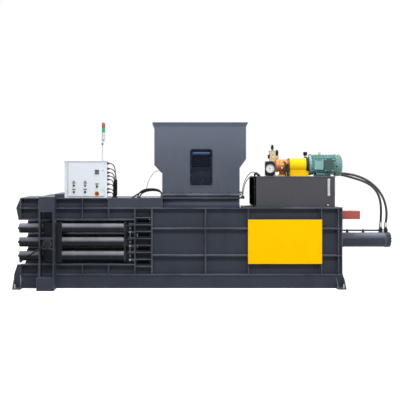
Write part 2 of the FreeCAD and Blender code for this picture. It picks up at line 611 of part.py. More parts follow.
def yoke_side():
    """The near post of the portal: two upright plates, a web with the nut, a foot block and a head."""
    posts = [("yoke_left", "yoke_left + yoke_plate"), ("yoke_right - yoke_plate", "yoke_right")]
    upright = ("yoke_foot_height", "yoke_head_under")
    parts = [box("post_plate", x, near(POST_IN, "yoke_front"), upright) for x in posts]
    inside = (posts[0][1], posts[1][0])
    parts += [
        box("foot_block", ("yoke_foot_left", "yoke_right"), near(f"{SKIRT_OUT}", "yoke_front"),
            ("0", "yoke_foot_height - plate")),
        box("foot_cap", ("yoke_foot_left", "yoke_right"), near("half_width", "yoke_front"),
            ("yoke_foot_height - plate", "yoke_foot_height")),
        box("head_block", (posts[0][0], posts[1][1]), near("half_width", "yoke_front"),
            ("yoke_head_under", "yoke_top")),
        box("nut_seat", inside, near(f"{NUT_REAR} - yoke_plate", NUT_REAR),
            (f"{RAM_Z} - nut_half - yoke_plate", f"{RAM_Z} + nut_half + yoke_plate")),
        rod("nut", "Y", "nut_half", ("screw_x", "-yoke_front", RAM_Z), "nut_length"),
    ]
    for step in (-1, 1):
        shelf = f"({RAM_Z} + {step} * (nut_half + yoke_plate / 4))"
        parts.append(box("shelf", inside, near(POST_IN, "yoke_front"),
                         (f"{shelf} - yoke_plate / 2", f"{shelf} + yoke_plate / 2")))
    hole = rod("nut_bore", "Y", "screw_radius + screw_clearance", ("screw_x", "-yoke_front - 1", RAM_Z),
               "nut_length + yoke_plate + 2")
    return cut("yoke_side", fuse("yoke_side_weldment", parts), [hole])


NEAR_YOKE = yoke_side()
tie_z = ("band_top", "band_top + tie_rise")
node("squeeze_yoke", fuse("yoke_weldment", [
    NEAR_YOKE, mirrored("yoke_far_side", NEAR_YOKE),
    box("yoke_strap", ("yoke_left", "yoke_right"), both("half_width"), ("band_top", "yoke_top")),
    box("yoke_tie", ("tie_left", "tie_right"), both("half_width"), tie_z),
]))


def squeeze_screw():
    """A near squeeze screw: end in the wall's sleeve, shank through the yoke, head and crank bar outside."""
    end = f"({PAD_FACE} + screw_tip_gap)"
    seat = "(yoke_front + seat_gap)"
    head = f"({seat} + screw_head)"
    shank = [(end, "0"), (end, "screw_radius - screw_chamfer"), (f"{end} + screw_chamfer", "screw_radius"),
             (seat, "screw_radius"), (seat, "screw_head_radius"), (head, "screw_head_radius"), (head, "0")]
    made = turned("screw_shank", "Y", ("screw_x", "0", RAM_Z), shank)
    flipped = mirrored("screw_body", made)
    tilt = Rotation(Vector(0, 1, 0), -90 - value("crank_tilt"))
    grip_y = "-(yoke_front + seat_gap + screw_head / 2)"
    bar = DOC.addObject("Part::Cylinder", "crank_bar")
    bind(bar, "Radius", "crank_radius")
    bind(bar, "Height", "crank_length")
    place(bar, ("screw_x", grip_y, RAM_Z), tilt)
    knob = DOC.addObject("Part::Sphere", "crank_knob")
    bind(knob, "Radius", "crank_knob")
    place(knob, ("screw_x - crank_length * cos(crank_tilt)", grip_y,
                 f"{RAM_Z} - crank_length * sin(crank_tilt)"))
    return fuse("squeeze_screw", [flipped, bar, knob])


NEAR_SCREW = squeeze_screw()
node("near_squeeze_screw", NEAR_SCREW)
node("far_squeeze_screw", mirrored("far_screw_copy", NEAR_SCREW))


# ---------------------------------------------------------------- hopper
def hopper_outline(wall):
    """The hopper's front outline, moved in by a wall thickness."""
    left, right = f"neck_left + {wall}", f"neck_right - {wall}"
    return [(left, "hopper_seat - seat_flange_t"), (right, "hopper_seat - seat_flange_t"),
            (right, "taper_right_top - taper_drop"), (f"hopper_right - {wall}", "taper_right_top"),
            (f"hopper_right - {wall}", "rim_top"), (f"hopper_left + {wall}", "rim_top"),
            (f"hopper_left + {wall}", "taper_left_top"), (left, "taper_left_top - taper_drop")]


def frustum(name, z, low, high):
    """A block that tapers between two levels; low and high give its left, right and half depth."""
    made = DOC.addObject("Part::Wedge", name)
    sizes = {"Xmin": low[0], "Xmax": low[1], "Zmin": f"-({low[2]})", "Zmax": low[2], "Ymin": z[0],
             "Ymax": z[1],
             "X2min": high[0], "X2max": high[1], "Z2min": f"-({high[2]})", "Z2max": high[2]}
    for prop, expression in sizes.items():
        bind(made, prop, expression)
    made.Placement = Placement(Vector(), Rotation(Vector(1, 0, 0), 90))
    return made


def hopper():
    shell = padded("hopper_block", "XZ_Plane", hopper_outline("0"), "2 * hopper_half",
                   ("0", "hopper_half", "0"))
    inner = "(hopper_half - hopper_plate)"
    void = padded("hopper_void", "XZ_Plane", hopper_outline("hopper_plate"), f"2 * {inner}",
                  ("0", inner, "0"))
    rim = frustum("hopper_rim", ("rim_under", "rim_top"), ("hopper_left", "hopper_right", "hopper_half"),
                  ("hopper_left - rim_flare", "hopper_right + rim_flare", "hopper_half + rim_flare"))
    mouth = frustum("hopper_mouth", ("rim_under", "rim_top"),
                    ("hopper_left + hopper_plate", "hopper_right - hopper_plate", inner),
                    ("hopper_left - rim_flare + hopper_plate", "hopper_right + rim_flare - hopper_plate",
                     f"{inner} + rim_flare"))
    seat = box("hopper_flange", ("neck_left - seat_flange", "neck_right + seat_flange"),
               both("hopper_half + seat_flange"), ("hopper_seat - seat_flange_t", "hopper_seat"))
    window = box("window_cutout", ("window_left + window_frame", "window_right - window_frame"),
                 near(f"{inner} - 1", "hopper_half + 1"),
                 ("window_under + window_frame", "window_top - window_frame"))
    base_void = box("seat_void", ("neck_left + hopper_plate", "neck_right - hopper_plate"), both(inner),
                    ("hopper_seat - seat_flange_t - 1", "hopper_seat + 1"))
    return node("hopper", cut("hopper_cut", fuse("hopper_solid", [shell, rim, seat]),
                              [void, mouth, window, base_void]))


hopper()


def window_opening(name, under, top, depth):
    """The clear opening of one pane."""
    return box(name, ("window_left + window_frame", "window_right - window_frame"), depth, (under, top))


WINDOW_DEPTH = near("hopper_half", "hopper_half + window_proud")
PANES = [("window_under + window_frame", "window_split - window_frame / 2"),
         ("window_split + window_frame / 2", "window_top - window_frame")]
node("window_frame", cut("window_ring", box("window_block", ("window_left", "window_right"), WINDOW_DEPTH,
                                            ("window_under", "window_top")),
                         [window_opening("pane_gap", low, high,
                                         near("hopper_half - 1", "hopper_half + window_proud + 1"))
                          for low, high in PANES]))
node("window_panes", grouped("window_pane_pair", [
    window_opening("pane", low, high, near("hopper_half + plate / 4", "hopper_half + plate / 4 + pane_t"))
    for low, high in PANES]))
node("shear_knife", box("fixed_knife", ("throat_left", "throat_left + knife_t"),
                        both("throat_half - lug_gap"),
                        ("roof_under", "roof_under + knife_height")))


# ---------------------------------------------------------------- ram
def ram_body():
    """The ram: a slotted face, four walls round the cylinder, a rear frame and runners."""
    half = f"({WEB_IN} - ram_gap)"
    under = "(floor_top + ram_gap)"
    inside_z = (f"{under} + ram_plate", f"{RAM_TOP} - ram_plate")
    length = ("ram_face", RAM_REAR)
    block = box("ram_block", length, both(half), (under, RAM_TOP))
    void = box("ram_void", ("ram_face + ram_face_plate", f"{RAM_REAR} + 1"), both(f"{half} - ram_plate"),
               inside_z)
    shell = cut("ram_shell", block, [void])
    parts = [shell, cut("ram_rear_frame", box("rear_frame_plate", (f"{RAM_REAR} - ram_plate", RAM_REAR),
                                              both(half), (under, RAM_TOP)),
                        [box("rear_frame_gate", (f"{RAM_REAR} - ram_plate - 1", f"{RAM_REAR} + 1"),
                             both(f"{half} - 4 * ram_plate"), (f"{under} + 4 * ram_plate", TAIL_UNDER))])]
    for side in (-1, 1):
        middle = f"({side} * ({half} - 2 * ram_plate))"
        parts.append(box("runner", length, (f"{middle} - ram_plate", f"{middle} + ram_plate"),
                         ("floor_top + slide_gap", under)))
    slots = [box("face_slot", ("ram_face - 1", "ram_face + face_slot_depth"), both(f"{half} + 1"),
                 (f"{level} - slot_height / 2", f"{level} + slot_height / 2")) for level in SLOT_LEVELS]
    seat = box("knife_seat", ("ram_face - 1", "ram_face + knife_height"), both(f"{half} + 1"),
               (f"{RAM_TOP} - knife_t + ram_gap - knife_gap", f"{RAM_TOP} + 1"))
    return node("ram_body", cut("ram_cut", fuse("ram_weldment", parts), slots + [seat]))


ram_body()
node("ram_knife", box("moving_knife", ("ram_face", "ram_face + knife_height"), both(f"{WEB_IN} - ram_gap"),
                      ("roof_under - knife_gap - knife_t", "roof_under - knife_gap")))
node("ram_tail", cut("tail_box", box("tail_block", (RAM_REAR, "tail_end"), both("tail_half"),
                                     (TAIL_UNDER, RAM_TOP)),
                     [box("tail_void", (RAM_REAR, "tail_end - tail_plate"), both("tail_half - tail_plate"),
                          (f"{TAIL_UNDER} + tail_plate", f"{RAM_TOP} - tail_plate"))]))

# ---------------------------------------------------------------- main cylinder
BARREL_FRONT = "(barrel_end - barrel_length)"
PISTON_REAR = "(barrel_end - barrel_cap - piston_back_gap)"


def main_cylinder():
    """Barrel with its closed rear end and the flange that bolts to the bulkhead."""
    void = "(barrel_length - barrel_cap)"
    flange = "(body_right - (barrel_end - barrel_length))"
    profile = [("0", "barrel_bore"), (void, "barrel_bore"), (void, "0"), ("barrel_length", "0"),
               ("barrel_length", "barrel_radius - barrel_chamfer"),
                ("barrel_length - barrel_chamfer", "barrel_radius"),
               (f"{flange} + bulkhead_flange_t", "barrel_radius"),
               (f"{flange} + bulkhead_flange_t", "bulkhead_flange"), (flange, "bulkhead_flange"),
               (flange, "barrel_radius"), ("0", "barrel_radius")]
    body = turned("barrel_turning", "X", (BARREL_FRONT, "0", RAM_Z), profile)
    pipe = rod("flange_pipe_hole", "X", "pipe_radius + pipe_clearance", ("body_right - 1", "0", PIPE_Z),
               "bulkhead_flange_t + 2")
    return node("cylinder_barrel", cut("barrel_cut", body, [pipe]))


main_cylinder()
node("cylinder_gland", turned("gland_turning", "X", (f"{BARREL_FRONT} - gland_collar", "0", RAM_Z), [
    ("0", "rod_radius + running"), ("gland_collar + gland_length", "rod_radius + running"),
    ("gland_collar + gland_length", "barrel_bore - running"), ("gland_collar", "barrel_bore - running"),
    ("gland_collar", "barrel_radius"), ("0", "barrel_radius")]))
ROD_FRONT = "(ram_face + ram_face_plate)"
node("piston_rod", turned("rod_turning", "X", (ROD_FRONT, "0", RAM_Z), [
    ("0", "0"), (f"{PISTON_REAR} - {ROD_FRONT}", "0"), (f"{PISTON_REAR} - {ROD_FRONT}", "rod_radius / 2"),
    (f"{PISTON_REAR} - piston_length - {ROD_FRONT}", "rod_radius / 2"),
    (f"{PISTON_REAR} - piston_length - {ROD_FRONT}", "rod_radius"), ("ram_plate", "rod_radius"),
    ("ram_plate", "rod_radius + 2 * ram_plate"), ("0", "rod_radius + 2 * ram_plate")]))
node("piston", turned("piston_turning", "X", (f"{PISTON_REAR} - piston_length", "0", RAM_Z),
                      ring_profile("piston_length", "barrel_bore - running", "rod_radius / 2")))

# ---------------------------------------------------------------- pipe, hose fittings, tank
MANIFOLD_X = ("manifold_left", "manifold_right")
HOSE_Z = "(tank_top + hose_rise)"
HOSES = {"pressure_hose": ("port_a", "hose_y_a"), "return_hose": ("port_b", "hose_y_b")}


def rigid_pipe():
    """The rigid pipe along the barrel's top, with a stub down to the barrel at its front end."""
    stub = rod("pipe_stub", "Z", "pipe_radius", ("pipe_front", "0", f"{BARREL_TOP} - 1"), "pipe_rise + 1")
    run = rod("pipe_length", "X", "pipe_radius", ("pipe_front", "0", PIPE_Z),
              "port_a - port_radius - pipe_front")
    corner = DOC.addObject("Part::Sphere", "pipe_corner")
    bind(corner, "Radius", "pipe_radius")
    place(corner, ("pipe_front", "0", PIPE_Z))
    union = rod("pipe_union", "Z", "pipe_radius + union_wall", ("pipe_front", "0", BARREL_TOP),
                "pipe_rise / 2")
    barrel = rod("pipe_barrel_seat", "X", "barrel_radius", ("pipe_front - pipe_seat", "0", RAM_Z),
                 "pipe_seat * 2")
    return cut("pipe_cut", fuse("pipe_joined", [stub, run, corner, union]), [barrel])


def pipework():
    """The rigid pipe, two upright adapters on the barrel, and the tank's manifold with its two outlets."""
    parts = [rigid_pipe()]
    for x in ("port_a", "port_b"):
        block = box("port_block", (f"{x} - port_radius", f"{x} + port_radius"), both("port_radius"),
                    (f"{BARREL_TOP} - port_sink", f"{BARREL_TOP} + port_radius * 2"))
        neck = rod("port_neck", "Z", "hose_radius + ferrule_wall",
                   (x, "0", f"{BARREL_TOP} + port_radius * 2"),
                   "port_rise - port_radius * 2")
        barrel = rod("port_barrel_seat", "X", "barrel_radius", (f"{x} - port_seat", "0", RAM_Z),
                     "port_seat * 2")
        parts.append(cut("port", fuse("port_solid", [block, neck]), [barrel]))
    block = box("manifold_block", MANIFOLD_X, ("hose_y_a - manifold_margin", "hose_y_b + manifold_margin"),
                ("tank_top", f"{HOSE_Z} + manifold_rise"))
    outlets = [rod("outlet", "X", "hose_radius + ferrule_wall", (MANIFOLD_X[1], y, HOSE_Z), "outlet_reach")
               for _, y in HOSES.values()]
    parts.append(fuse("manifold", [block] + outlets))
    return node("pipework", grouped("pipework_group", parts))


pipework()


def tank():
    """The oil tank: a closed box of plate with a rim round its lid."""
    shell = cut("tank_shell",
                box("tank_block", ("tank_left", "tank_right"), both("tank_half"),
                    ("tank_foot", "tank_top")),
                [box("tank_void", ("tank_left + tank_plate", "tank_right - tank_plate"),
                     both("tank_half - tank_plate"), ("tank_foot + tank_plate", "tank_top - tank_plate"))])
    rim = box("tank_lid", ("tank_left - tank_rim", "tank_right + tank_rim"), both("tank_half + tank_rim"),
              ("tank_top - tank_plate", "tank_top"))
    return node("tank", fuse("tank_weldment", [shell, rim]))


tank()
FRONT = "(tank_half)"
LEVEL_BOLT = ("level_x", f"-{FRONT} - level_bolt_reach")
node("level_gauge", fuse("level_gauge_joined", [
    box("gauge_strip", ("level_x - level_width / 2", "level_x + level_width / 2"),
        near(FRONT, f"{FRONT} + level_mount"), ("level_under", "level_top")),
    rod("gauge_bolt_low", "Y", "level_bolt", LEVEL_BOLT + ("level_under + level_bolt_inset",),
        "level_bolt_reach"),
    rod("gauge_bolt_high", "Y", "level_bolt", LEVEL_BOLT + ("level_top - level_bolt_inset",),
        "level_bolt_reach")]))

SHAFT_Z = "(tank_top + shaft_rise)"
DRIVE = ("drive_y", SHAFT_Z)


def on_shaft(name, start, points):
    """A turned piece on the motor's axis, from a station along it."""
    return turned(name, "X", (start,) + DRIVE, points)


def suction_pipe():
    """The black suction pipe from the pump's near side down to the tank."""
    y = "(drive_y - pump_radius - suction_reach)"
    down = rod("suction_drop", "Z", "suction_radius", ("suction_x", y, "tank_top"),
               "shaft_rise + suction_rise")
    across = rod("suction_across", "Y", "suction_radius", ("suction_x", y, f"{SHAFT_Z} + suction_rise"),
                 "suction_reach + suction_sink")
    elbow = DOC.addObject("Part::Sphere", "suction_elbow")
    bind(elbow, "Radius", "suction_radius")
    place(elbow, ("suction_x", y, f"{SHAFT_Z} + suction_rise"))
    collar = rod("suction_collar", "Z", "suction_radius + collar_wall", ("suction_x", y, "tank_top"),
                 "collar_t")
    pump = rod("suction_pump_seat", "X", "pump_radius", ("pump_left",) + DRIVE, "bell_left - pump_left")
    return cut("suction_pipe", fuse("suction_joined", [down, across, elbow, collar]), [pump])


def tank_fittings():
    """Filler breather behind the drive, drain plug low on the near face, suction pipe."""
    breather = fuse("breather", [
        rod("breather_neck", "Z", "breather_neck", ("breather_x", "breather_y", "tank_top"),
            "breather_height - breather_cap_t"),
        rod("breather_cap", "Z", "breather_cap",
            ("breather_x", "breather_y", "tank_top + breather_height - breather_cap_t"), "breather_cap_t")])
    plug = rod("drain_plug", "Y", "drain_plug",
               ("level_x - drain_shift", f"-{FRONT} - drain_plug", "tank_foot + drain_rise"), "drain_plug")
    return node("tank_fittings", grouped("tank_fitting_group", [breather, plug, suction_pipe()]))


tank_fittings()


# ---------------------------------------------------------------- motor, coupling and pump
SHIELD = "motor_flange"
FAN_SHIELD = "(motor_right - fan_cover_length)"


def motor_housing():
    """The finned stator frame with its end shields, flange, feet and lifting eye."""
    length = f"({FAN_SHIELD} - motor_left)"
    seat = "(shaft_radius + running)"
    bore = "(motor_radius - motor_wall)"
    shell = on_shaft("stator_turning", "motor_left", [
        ("0", seat), (SHIELD, seat), (SHIELD, bore), (f"{length} - motor_wall", bore),
        (f"{length} - motor_wall", seat), (length, seat), (length, "motor_radius"),
        (SHIELD, "motor_radius"), (SHIELD, "motor_flange_radius"), ("0", "motor_flange_radius")])
    parts = [shell]
    turn_count = 32
    for i in range(turn_count):
        angle = 360 / turn_count * i
        if 215 <= angle <= 325:
            continue
        fin = box("fin", (f"motor_left + {SHIELD}", FAN_SHIELD), ("-fin_t / 2", "fin_t / 2"),
                  ("motor_radius - 2", "motor_radius + fin_rise"))
        c, s = math.cos(math.radians(angle - 90)), math.sin(math.radians(angle - 90))
        fin.Placement = Placement(Vector(), Rotation(Vector(1, 0, 0), angle - 90))
        low = "(motor_radius - 2)"
        bind(fin, "Placement.Base.x", f"motor_left + {SHIELD}")
        bind(fin, "Placement.Base.y", f"drive_y - ({s:.6f}) * {low} - ({c:.6f}) * fin_t / 2")
        bind(fin, "Placement.Base.z", f"{SHAFT_Z} + ({c:.6f}) * {low} - ({s:.6f}) * fin_t / 2")
        parts.append(fin)
    feet_x = ("motor_left + motor_foot_lead", f"{FAN_SHIELD} - motor_foot_tail")
    parts.append(box("motor_feet", feet_x, ("drive_y - foot_half", "drive_y + foot_half"),
                     ("tank_top", "tank_top + motor_foot_t")))
    for side in (-1, 1):
        parts.append(box("motor_leg", feet_x, (f"drive_y + {side} * (foot_half - leg_inset) - leg_half",
                                               f"drive_y + {side} * (foot_half - leg_inset) + leg_half"),
                         ("tank_top + motor_foot_t", f"{SHAFT_Z} - leg_drop")))
    eye = DOC.addObject("Part::Torus", "lifting_eye")
    bind(eye, "Radius1", "eye_ring")
    bind(eye, "Radius2", "eye_bar")
    place(eye, ("motor_left + eye_station", "drive_y", f"{SHAFT_Z} + motor_radius + fin_rise + eye_lift"),
          Rotation(Vector(1, 0, 0), 90))
    parts += [eye, rod("eye_boss", "Z", "eye_boss", ("motor_left + eye_station", "drive_y",
                                                     f"{SHAFT_Z} + motor_radius - eye_sink"),
                       "fin_rise + eye_boss_rise")]
    hollow = on_shaft("stator_hollow", "motor_left", [
        ("-1", "0"), ("-1", seat), (SHIELD, seat), (SHIELD, bore), (f"{length} - motor_wall", bore),
        (f"{length} - motor_wall", seat), (f"{length} + 1", seat), (f"{length} + 1", "0")])
    return node("motor_housing", cut("motor_cut", fuse("motor_casting", parts), [hollow]))


motor_housing()
COVER_RADIUS = "(motor_radius + fin_rise)"
node("fan_cover", on_shaft("fan_cover_turning", FAN_SHIELD, [
    ("0", f"{COVER_RADIUS} - fan_sheet"),
    ("fan_cover_length - fan_bevel - fan_sheet / 2", f"{COVER_RADIUS} - fan_sheet"),
    ("fan_cover_length - fan_sheet", f"{COVER_RADIUS} - fan_drop - fan_sheet / 2"),
    ("fan_cover_length - fan_sheet", "fan_grille"), ("fan_cover_length", "fan_grille"),
    ("fan_cover_length", f"{COVER_RADIUS} - fan_drop"),
    ("fan_cover_length - fan_bevel", COVER_RADIUS), ("0", COVER_RADIUS)]))
TERMINAL_Y = f"(drive_y - {COVER_RADIUS} - terminal_reach)"
node("terminal_box", cut("terminal_cut", box(
    "terminal_block", ("terminal_left", "terminal_right"), (TERMINAL_Y, "drive_y - motor_radius / 2"),
    ("terminal_under", "terminal_top")), [rod("terminal_saddle", "X", f"{COVER_RADIUS} + running",
                                              ("terminal_left - 1",) + DRIVE,
                                              "terminal_right - terminal_left + 2")]))

node("motor_rotor", on_shaft("rotor_turning", "motor_left", [
    ("-coupling_reach", "0"), ("-coupling_reach", "shaft_radius"),
    ("motor_flange + rotor_gap_front", "shaft_radius"), ("motor_flange + rotor_gap_front", "rotor_radius"),
    (f"{FAN_SHIELD} - motor_left - rotor_gap_rear", "rotor_radius"),
    (f"{FAN_SHIELD} - motor_left - rotor_gap_rear", "shaft_radius"),
    (f"{FAN_SHIELD} - motor_left + fan_gap", "shaft_radius"),
    (f"{FAN_SHIELD} - motor_left + fan_gap", "fan_radius"),
    (f"{FAN_SHIELD} - motor_left + fan_end", "fan_radius"),
    (f"{FAN_SHIELD} - motor_left + fan_end", "0")]))
node("shaft_coupling", on_shaft("coupling_turning", "motor_left - coupling_reach - coupling_length / 2", [
    ("0", "pump_shaft_radius"), ("coupling_length / 2", "pump_shaft_radius"),
    ("coupling_length / 2", "shaft_radius"),
    ("coupling_length", "shaft_radius"), ("coupling_length", "coupling_radius - coupling_chamfer"),
    ("coupling_length - coupling_chamfer", "coupling_radius"),
    ("coupling_chamfer", "coupling_radius"), ("0", "coupling_radius - coupling_chamfer")]))


def bell_housing():
    """The yellow bell between motor and pump, with its foot on the tank."""
    length = "(motor_left - bell_left)"
    bell = on_shaft("bell_turning", "bell_left", [
        ("0", "pump_shaft_radius + bell_mouth"), ("bell_wall", "pump_shaft_radius + bell_mouth"),
        ("bell_wall", "bell_radius - bell_wall"),
        (length, "bell_radius - bell_wall"), (length, "bell_radius + bell_flange"),
        (f"{length} - bell_wall", "bell_radius + bell_flange"),
        (f"{length} - bell_wall", "bell_radius"), ("0", "bell_radius")])
    saddle = cut("bell_saddle", box("bell_foot", ("bell_left + bell_foot_inset", "motor_left - bell_wall"),
                                    ("drive_y - bell_foot_half", "drive_y + bell_foot_half"),
                                    ("tank_top", SHAFT_Z)),
                 [rod("bell_clear", "X", "bell_radius - bell_foot_sink", ("bell_left",) + DRIVE, length)])
    return node("bell_housing", fuse("bell_casting", [bell, saddle]))


bell_housing()


def pump():
    """The pump body: a ribbed casting with a spigot in the bell and a bore for its shaft."""
    length = "(bell_left - pump_left)"
    body = on_shaft("pump_turning", "pump_left", [
        ("0", "0"), (f"{length} - pump_bore", "0"),
        (f"{length} - pump_bore", "pump_shaft_radius + running"),
        (length, "pump_shaft_radius + running"), (length, "pump_radius"),
        (f"{length} - pump_rear_flange", "pump_radius"),
        (f"{length} - pump_rear_flange - pump_rear_slope", "pump_radius - pump_waist"),
        ("pump_front_flange + pump_waist", "pump_radius - pump_waist"), ("pump_front_flange", "pump_radius"),
        ("pump_chamfer", "pump_radius"), ("0", "pump_radius - pump_chamfer")])
    return node("pump_body", body)


pump()
node("pump_shaft", on_shaft("pump_shaft_turning", "bell_left - pump_bore + 2", [
    ("0", "0"), ("0", "pump_shaft_radius"),
    ("motor_left - coupling_reach - 1 - bell_left + pump_bore - 2", "pump_shaft_radius"),
    ("motor_left - coupling_reach - 1 - bell_left + pump_bore - 2", "0")]))


def valve_block():
    """The upright valve block on the tank, stepped out to the pump, with two valve seats."""
    x = ("valve_left", "valve_left + valve_width")
    y = ("drive_y - valve_half", "drive_y + valve_half")
    column = box("valve_column", x, y, ("tank_top", "valve_top"))
    cap = box("valve_cap", (f"{x[0]} - valve_cap_edge", f"{x[1]} + valve_cap_edge"),
              ("drive_y - valve_half - valve_cap_edge", "drive_y + valve_half + valve_cap_edge"),
              ("valve_top", "valve_top + valve_cap_t"))
    side = box("valve_side", (x[1], "knob_b_x + valve_side_reach"),
               ("drive_y - valve_side_half", "drive_y + valve_side_half"),
               (f"{SHAFT_Z} + pump_radius + 2", "knob_b_z"))
    return node("valve_block", fuse("valve_casting", [column, cap, side]))


valve_block()


def relief_knob(name, x, base, radius):
    """A turned adjusting knob on its stem, standing on the valve block."""
    return node(name, turned(name + "_turning", "Z", (x, "drive_y", base), [
        ("0", "0"), ("0", f"{radius} / 2"), ("knob_neck", f"{radius} / 2"),
        ("knob_neck + knob_lip", radius),
        ("knob_height - knob_top", f"{radius} * knob_taper"),
        ("knob_height", f"{radius} * crown_share"), ("knob_height", "0")]))


relief_knob("relief_knob", "valve_left + valve_width / 2", "valve_top + valve_cap_t",
            "knob_radius")
relief_knob("unloading_knob", "knob_b_x", "knob_b_z", "knob_radius + knob_b_more")


def gauge_panel():
    """The black plate on the tank's front edge with the gauge's case and stem."""
    middle = "((gauge_left + gauge_right) / 2)"
    plate = box("gauge_plate", ("gauge_left", "gauge_right"),
                near("gauge_front - gauge_plate_t", "gauge_front"),
                ("tank_top", "gauge_top"))
    case = rod("gauge_case", "Y", "dial_radius", (middle, "-gauge_front - dial_depth", "dial_z"),
               "dial_depth + case_sink")
    dish = rod("gauge_dish", "Y", "dial_radius - dial_lip",
               (middle, "-gauge_front - dial_depth - 1", "dial_z"),
               "dial_dish + 1")
    pin = rod("gauge_pivot", "Y", "pivot_radius",
              (middle, "-gauge_front - dial_depth + case_sink", "dial_z"), "dial_dish")
    return node("gauge_panel", fuse("gauge_joined",
                                    [cut("gauge_plate_case", fuse("gauge_solid", [plate, case]), [dish]),
                                     pin]))


gauge_panel()
DIAL_X = "((gauge_left + gauge_right) / 2)"
DISH_Y = "(-gauge_front - dial_depth + dial_dish)"


def gauge_needle():
    """The pointer: a bored hub on the gauge's pivot, a long hand and a short tail."""
    hub = rod("needle_hub", "Y", "hub_radius", (DIAL_X, f"{DISH_Y} - hub_lift", "dial_z"), "hub_t")
    hand = box("needle_hand", (f"{DIAL_X} - hand_half", f"{DIAL_X} + hand_half"),
               (f"{DISH_Y} - hand_back - hand_t", f"{DISH_Y} - hand_back"),
               ("dial_z - hand_reach", "dial_z + hand_tail"))
    bore = rod("needle_bore", "Y", "pivot_radius + running", (DIAL_X, f"{DISH_Y} - hub_bore", "dial_z"),
               "hub_bore")
    return node("gauge_needle", cut("needle_cut", fuse("needle_joined", [hub, hand]), [bore]))


gauge_needle()


# ---------------------------------------------------------------- side cover
def side_cover():
    """The yellow cover: a flat sheet on the ribs' edges, with lips turned in between them."""
    sheet = box("cover_sheet", ("cover_left - plate / 2", "cover_right + plate / 2"),
                near("half_width", "half_width + cover_t"), ("cover_under", "cover_top"))
    lips = [box("cover_lip", ("cover_left + plate", "cover_right - plate"),
                near("half_width - cover_return", "half_width"), z)
            for z in (("cover_under", "cover_under + cover_t"), ("cover_top - cover_t", "cover_top"))]
    return node("side_cover", fuse("cover_folded", [sheet] + lips))


side_cover()

# ---------------------------------------------------------------- control cabinet
FACE = "(cabinet_front + door_gap + door_t)"
DOOR_Z = ("band_top + door_margin - door_overlap", "cabinet_top - door_margin + door_overlap")
HINGE = ("(door_left - hinge_out)", "-(cabinet_front + hinge_out)")
HINGE_LEVELS = ("band_top + hinge_low", "cabinet_top - hinge_high")


def cabinet_shell():
    depth = near("cabinet_front - cabinet_depth", "cabinet_front")
    outer = box("cabinet_block", ("cabinet_left", "cabinet_right"), depth, ("band_top", "cabinet_top"))
    void = box("cabinet_void", ("cabinet_left + cabinet_sheet", "cabinet_right - cabinet_sheet"),
               near("cabinet_front - cabinet_depth + cabinet_sheet", "cabinet_front - cabinet_sheet"),
               ("band_top + cabinet_sheet", "cabinet_top - cabinet_sheet"))
    gate = box("cabinet_gate", ("door_left + gate_inset", "door_right - gate_inset"),
               near("cabinet_front - gate_depth", "cabinet_front + 1"),
               ("band_top + door_margin", "cabinet_top - door_margin"))
    parts = [cut("cabinet_folded", outer, [void, gate])]
    for level in HINGE_LEVELS:
        parts.append(rod("shell_knuckle", "Z", "hinge_barrel", HINGE + (level,), "hinge_length"))
        parts.append(box("shell_leaf", (f"{HINGE[0]} - hinge_barrel", f"{HINGE[0]} + hinge_barrel"),
                         near("cabinet_front - 1", "cabinet_front + hinge_out"),
                         (level, f"{level} + hinge_length")))
        parts.append(rod("shell_pin", "Z", "hinge_pin", HINGE + (level,), "hinge_length * 2"))
    return node("cabinet_shell", fuse("cabinet_welded", parts))


CONTROLS = {
    "start_button": ("column_a", "row_top"), "stop_button": ("column_a", "row_low"),
    "advance_button": ("column_b", "row_top"), "retract_button": ("column_b", "row_low"),
    "mode_selector": ("column_c", "row_top - selector_drop"),
    "emergency_stop": ("column_c", "row_low - emergency_drop"),
}
BARREL_BORE = "(button_radius + button_gap)"
BARREL_OUT = "(button_radius + switch_wall)"


def cabinet_door():
    """The folded door with its knuckles and a round hole for each control."""
    y = near("cabinet_front + door_gap", FACE)
    tray = box("door_block", ("door_left", "door_right"), y, DOOR_Z)
    void = box("door_void", ("door_left + cabinet_sheet", "door_right - cabinet_sheet"),
               near("cabinet_front", f"{FACE} - cabinet_sheet"),
               (f"{DOOR_Z[0]} + cabinet_sheet", f"{DOOR_Z[1]} - cabinet_sheet"))
    holes = [void] + [rod("control_hole", "Y", f"{BARREL_OUT} + button_gap", (x, f"-{FACE} - 1", z),
                          "cabinet_sheet + 2")
                      for x, z in CONTROLS.values()]
    parts = [cut("door_folded", tray, holes)]
    bores = []
    for level in HINGE_LEVELS:
        low = f"({level} + hinge_length + door_gap)"
        parts.append(rod("door_knuckle", "Z", "hinge_barrel", HINGE + (low,), "hinge_length"))
        parts.append(box("door_leaf", (HINGE[0], "door_left + 2"),
                         near("cabinet_front + leaf_back", "cabinet_front + leaf_front"),
                         (low, f"{low} + hinge_length")))
        bores.append(rod("door_bore", "Z", "hinge_pin + running", HINGE + (level,), "hinge_bore"))
    return node("cabinet_door", cut("door_bored", fuse("door_welded", parts), bores))


def switch_bodies():
    """The bezels with their barrels behind the door, the stop's ring, and the counter's case."""
    made = []
    for name, (x, z) in CONTROLS.items():
        ring = "stop_ring" if name == "emergency_stop" else "bezel_radius"
        made.append(turned(name + "_bezel", "Y", (x, f"-{FACE} - bezel_rise", z), [
            ("0", BARREL_BORE), ("bezel_rise + switch_depth", BARREL_BORE),
            ("bezel_rise + switch_depth", "0"),
            ("bezel_rise + switch_depth + switch_floor", "0"),
            ("bezel_rise + switch_depth + switch_floor", BARREL_OUT), ("bezel_rise", BARREL_OUT),
            ("bezel_rise", ring),
            ("2", ring), ("0", f"{ring} - 2")]))
    made.append(box("counter_case", ("column_c - counter_half", "column_c + counter_half"),
                    near(FACE, f"{FACE} + counter_t"),
                    ("row_lamp - counter_rise", "row_lamp + counter_rise")))
    return node("switch_bodies", grouped("switch_body_group", made))


